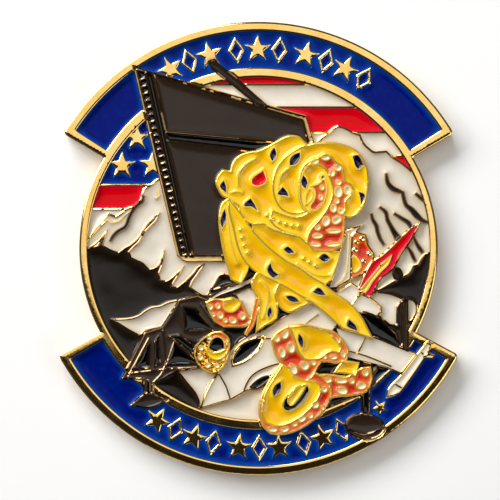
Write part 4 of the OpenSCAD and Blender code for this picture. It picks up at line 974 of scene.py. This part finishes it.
SHARP = math.radians(38)
gold_parts = [polished_gold(), blasted_gold(), washed_gold()]
enamel_parts = {slot: enamel_material(slot) for slot in ENAMEL_COLOURS}


def place(piece, node):
    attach(piece, "root")
    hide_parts(node)


place(casting_shell().build("casting", gold_parts, SHARP), CASTING)
for node in ENAMELS:
    piece = enamel_shell(node).build(node + "_fill", [enamel_parts[slot_of[node]]], SHARP)
    place(piece, node)

# ---- Floor, camera and light ----

FLOOR_SIZE = 3000
VIEW_CENTRE = (-1.19, -0.21)
VIEW_HEIGHT = 300
VIEW_WIDTH = 70
FACE_HEIGHT = 2.9
SENSOR = 36


def floor_material():
    paint = Paint("pale_floor", 0.7, specular=0.2)
    paint.colour(paint.mix(paint.noise(40, 2), (0.93, 0.93, 0.93), (0.97, 0.97, 0.97)))
    return paint.material


bpy.ops.mesh.primitive_plane_add(size=FLOOR_SIZE * MM)
floor = bpy.context.object
floor.name = "floor"
floor.data.materials.append(floor_material())

camera_data = bpy.data.cameras.new("camera")
camera_data.sensor_width = SENSOR
camera_data.lens = SENSOR * (VIEW_HEIGHT - FACE_HEIGHT) / VIEW_WIDTH
camera_data.clip_start = 0.01
camera = bpy.data.objects.new("camera", camera_data)
camera.location = Vector((*VIEW_CENTRE, VIEW_HEIGHT)) * MM
bpy.context.scene.collection.objects.link(camera)
bpy.context.scene.camera = camera
bpy.context.scene.view_settings.view_transform = "Standard"


def softbox(name, middle, size, radiance):
    """A flat lamp facing the coin. Lengths in mm; radiance is its brightness as seen from the coin."""
    data = bpy.data.lights.new(name, "AREA")
    data.shape = "RECTANGLE"
    data.size, data.size_y = size[0] * MM, size[1] * MM
    data.energy = radiance * math.pi * data.size * data.size_y
    lamp = bpy.data.objects.new(name, data)
    lamp.location = Vector(middle) * MM
    lamp.rotation_euler = (-Vector(middle)).to_track_quat("-Z", "Y").to_euler()
    bpy.context.scene.collection.objects.link(lamp)
    return lamp


def overhead(name, low, high, height, radiance):
    """A level lamp over the coin that covers this box in the plane."""
    middle = ((low[0] + high[0]) / 2, (low[1] + high[1]) / 2, height)
    lamp = softbox(name, middle, (high[0] - low[0], high[1] - low[1]), radiance)
    lamp.rotation_euler = (0, 0, 0)


overhead("overhead_softbox", (-380, -26), (380, 420), 600, 1.12)
softbox("key_softbox", (-400, 450, 390), (820, 320), 9.1)
softbox("right_fill", (500, -260, 400), (460, 300), 1.9)
softbox("front_strip", (0, -620, 240), (700, 80), 1.5)


# The room's light, and the dark patch in it: which way it lies and how wide its core and edge are
DARK_PATCH = (0, -0.3, 1)
PATCH_CORE = math.radians(20)
PATCH_EDGE = math.radians(48)
ROOM_LIGHT = 0.1
PATCH_LIGHT = 0.02
ROOM_COLOUR = (1.0, 0.9, 0.74, 1)


def studio_world():
    """A warm pale room with a dark patch above and a little in front of the coin, behind the camera."""
    world = bpy.data.worlds.new("studio")
    world.use_nodes = True
    tree = world.node_tree
    place = tree.nodes.new("ShaderNodeTexCoord")
    toward = tree.nodes.new("ShaderNodeVectorMath")
    toward.operation = "DOT_PRODUCT"
    toward.inputs[1].default_value = Vector(DARK_PATCH).normalized()
    fade = tree.nodes.new("ShaderNodeMapRange")
    fade.inputs["From Min"].default_value = math.cos(PATCH_EDGE)
    fade.inputs["From Max"].default_value = math.cos(PATCH_CORE)
    fade.inputs["To Min"].default_value = ROOM_LIGHT
    fade.inputs["To Max"].default_value = PATCH_LIGHT
    background = tree.nodes["Background"]
    background.inputs["Color"].default_value = ROOM_COLOUR
    tree.links.new(place.outputs["Generated"], toward.inputs[0])
    tree.links.new(toward.outputs["Value"], fade.inputs["Value"])
    tree.links.new(fade.outputs["Result"], background.inputs["Strength"])
    return world


bpy.context.scene.world = studio_world()
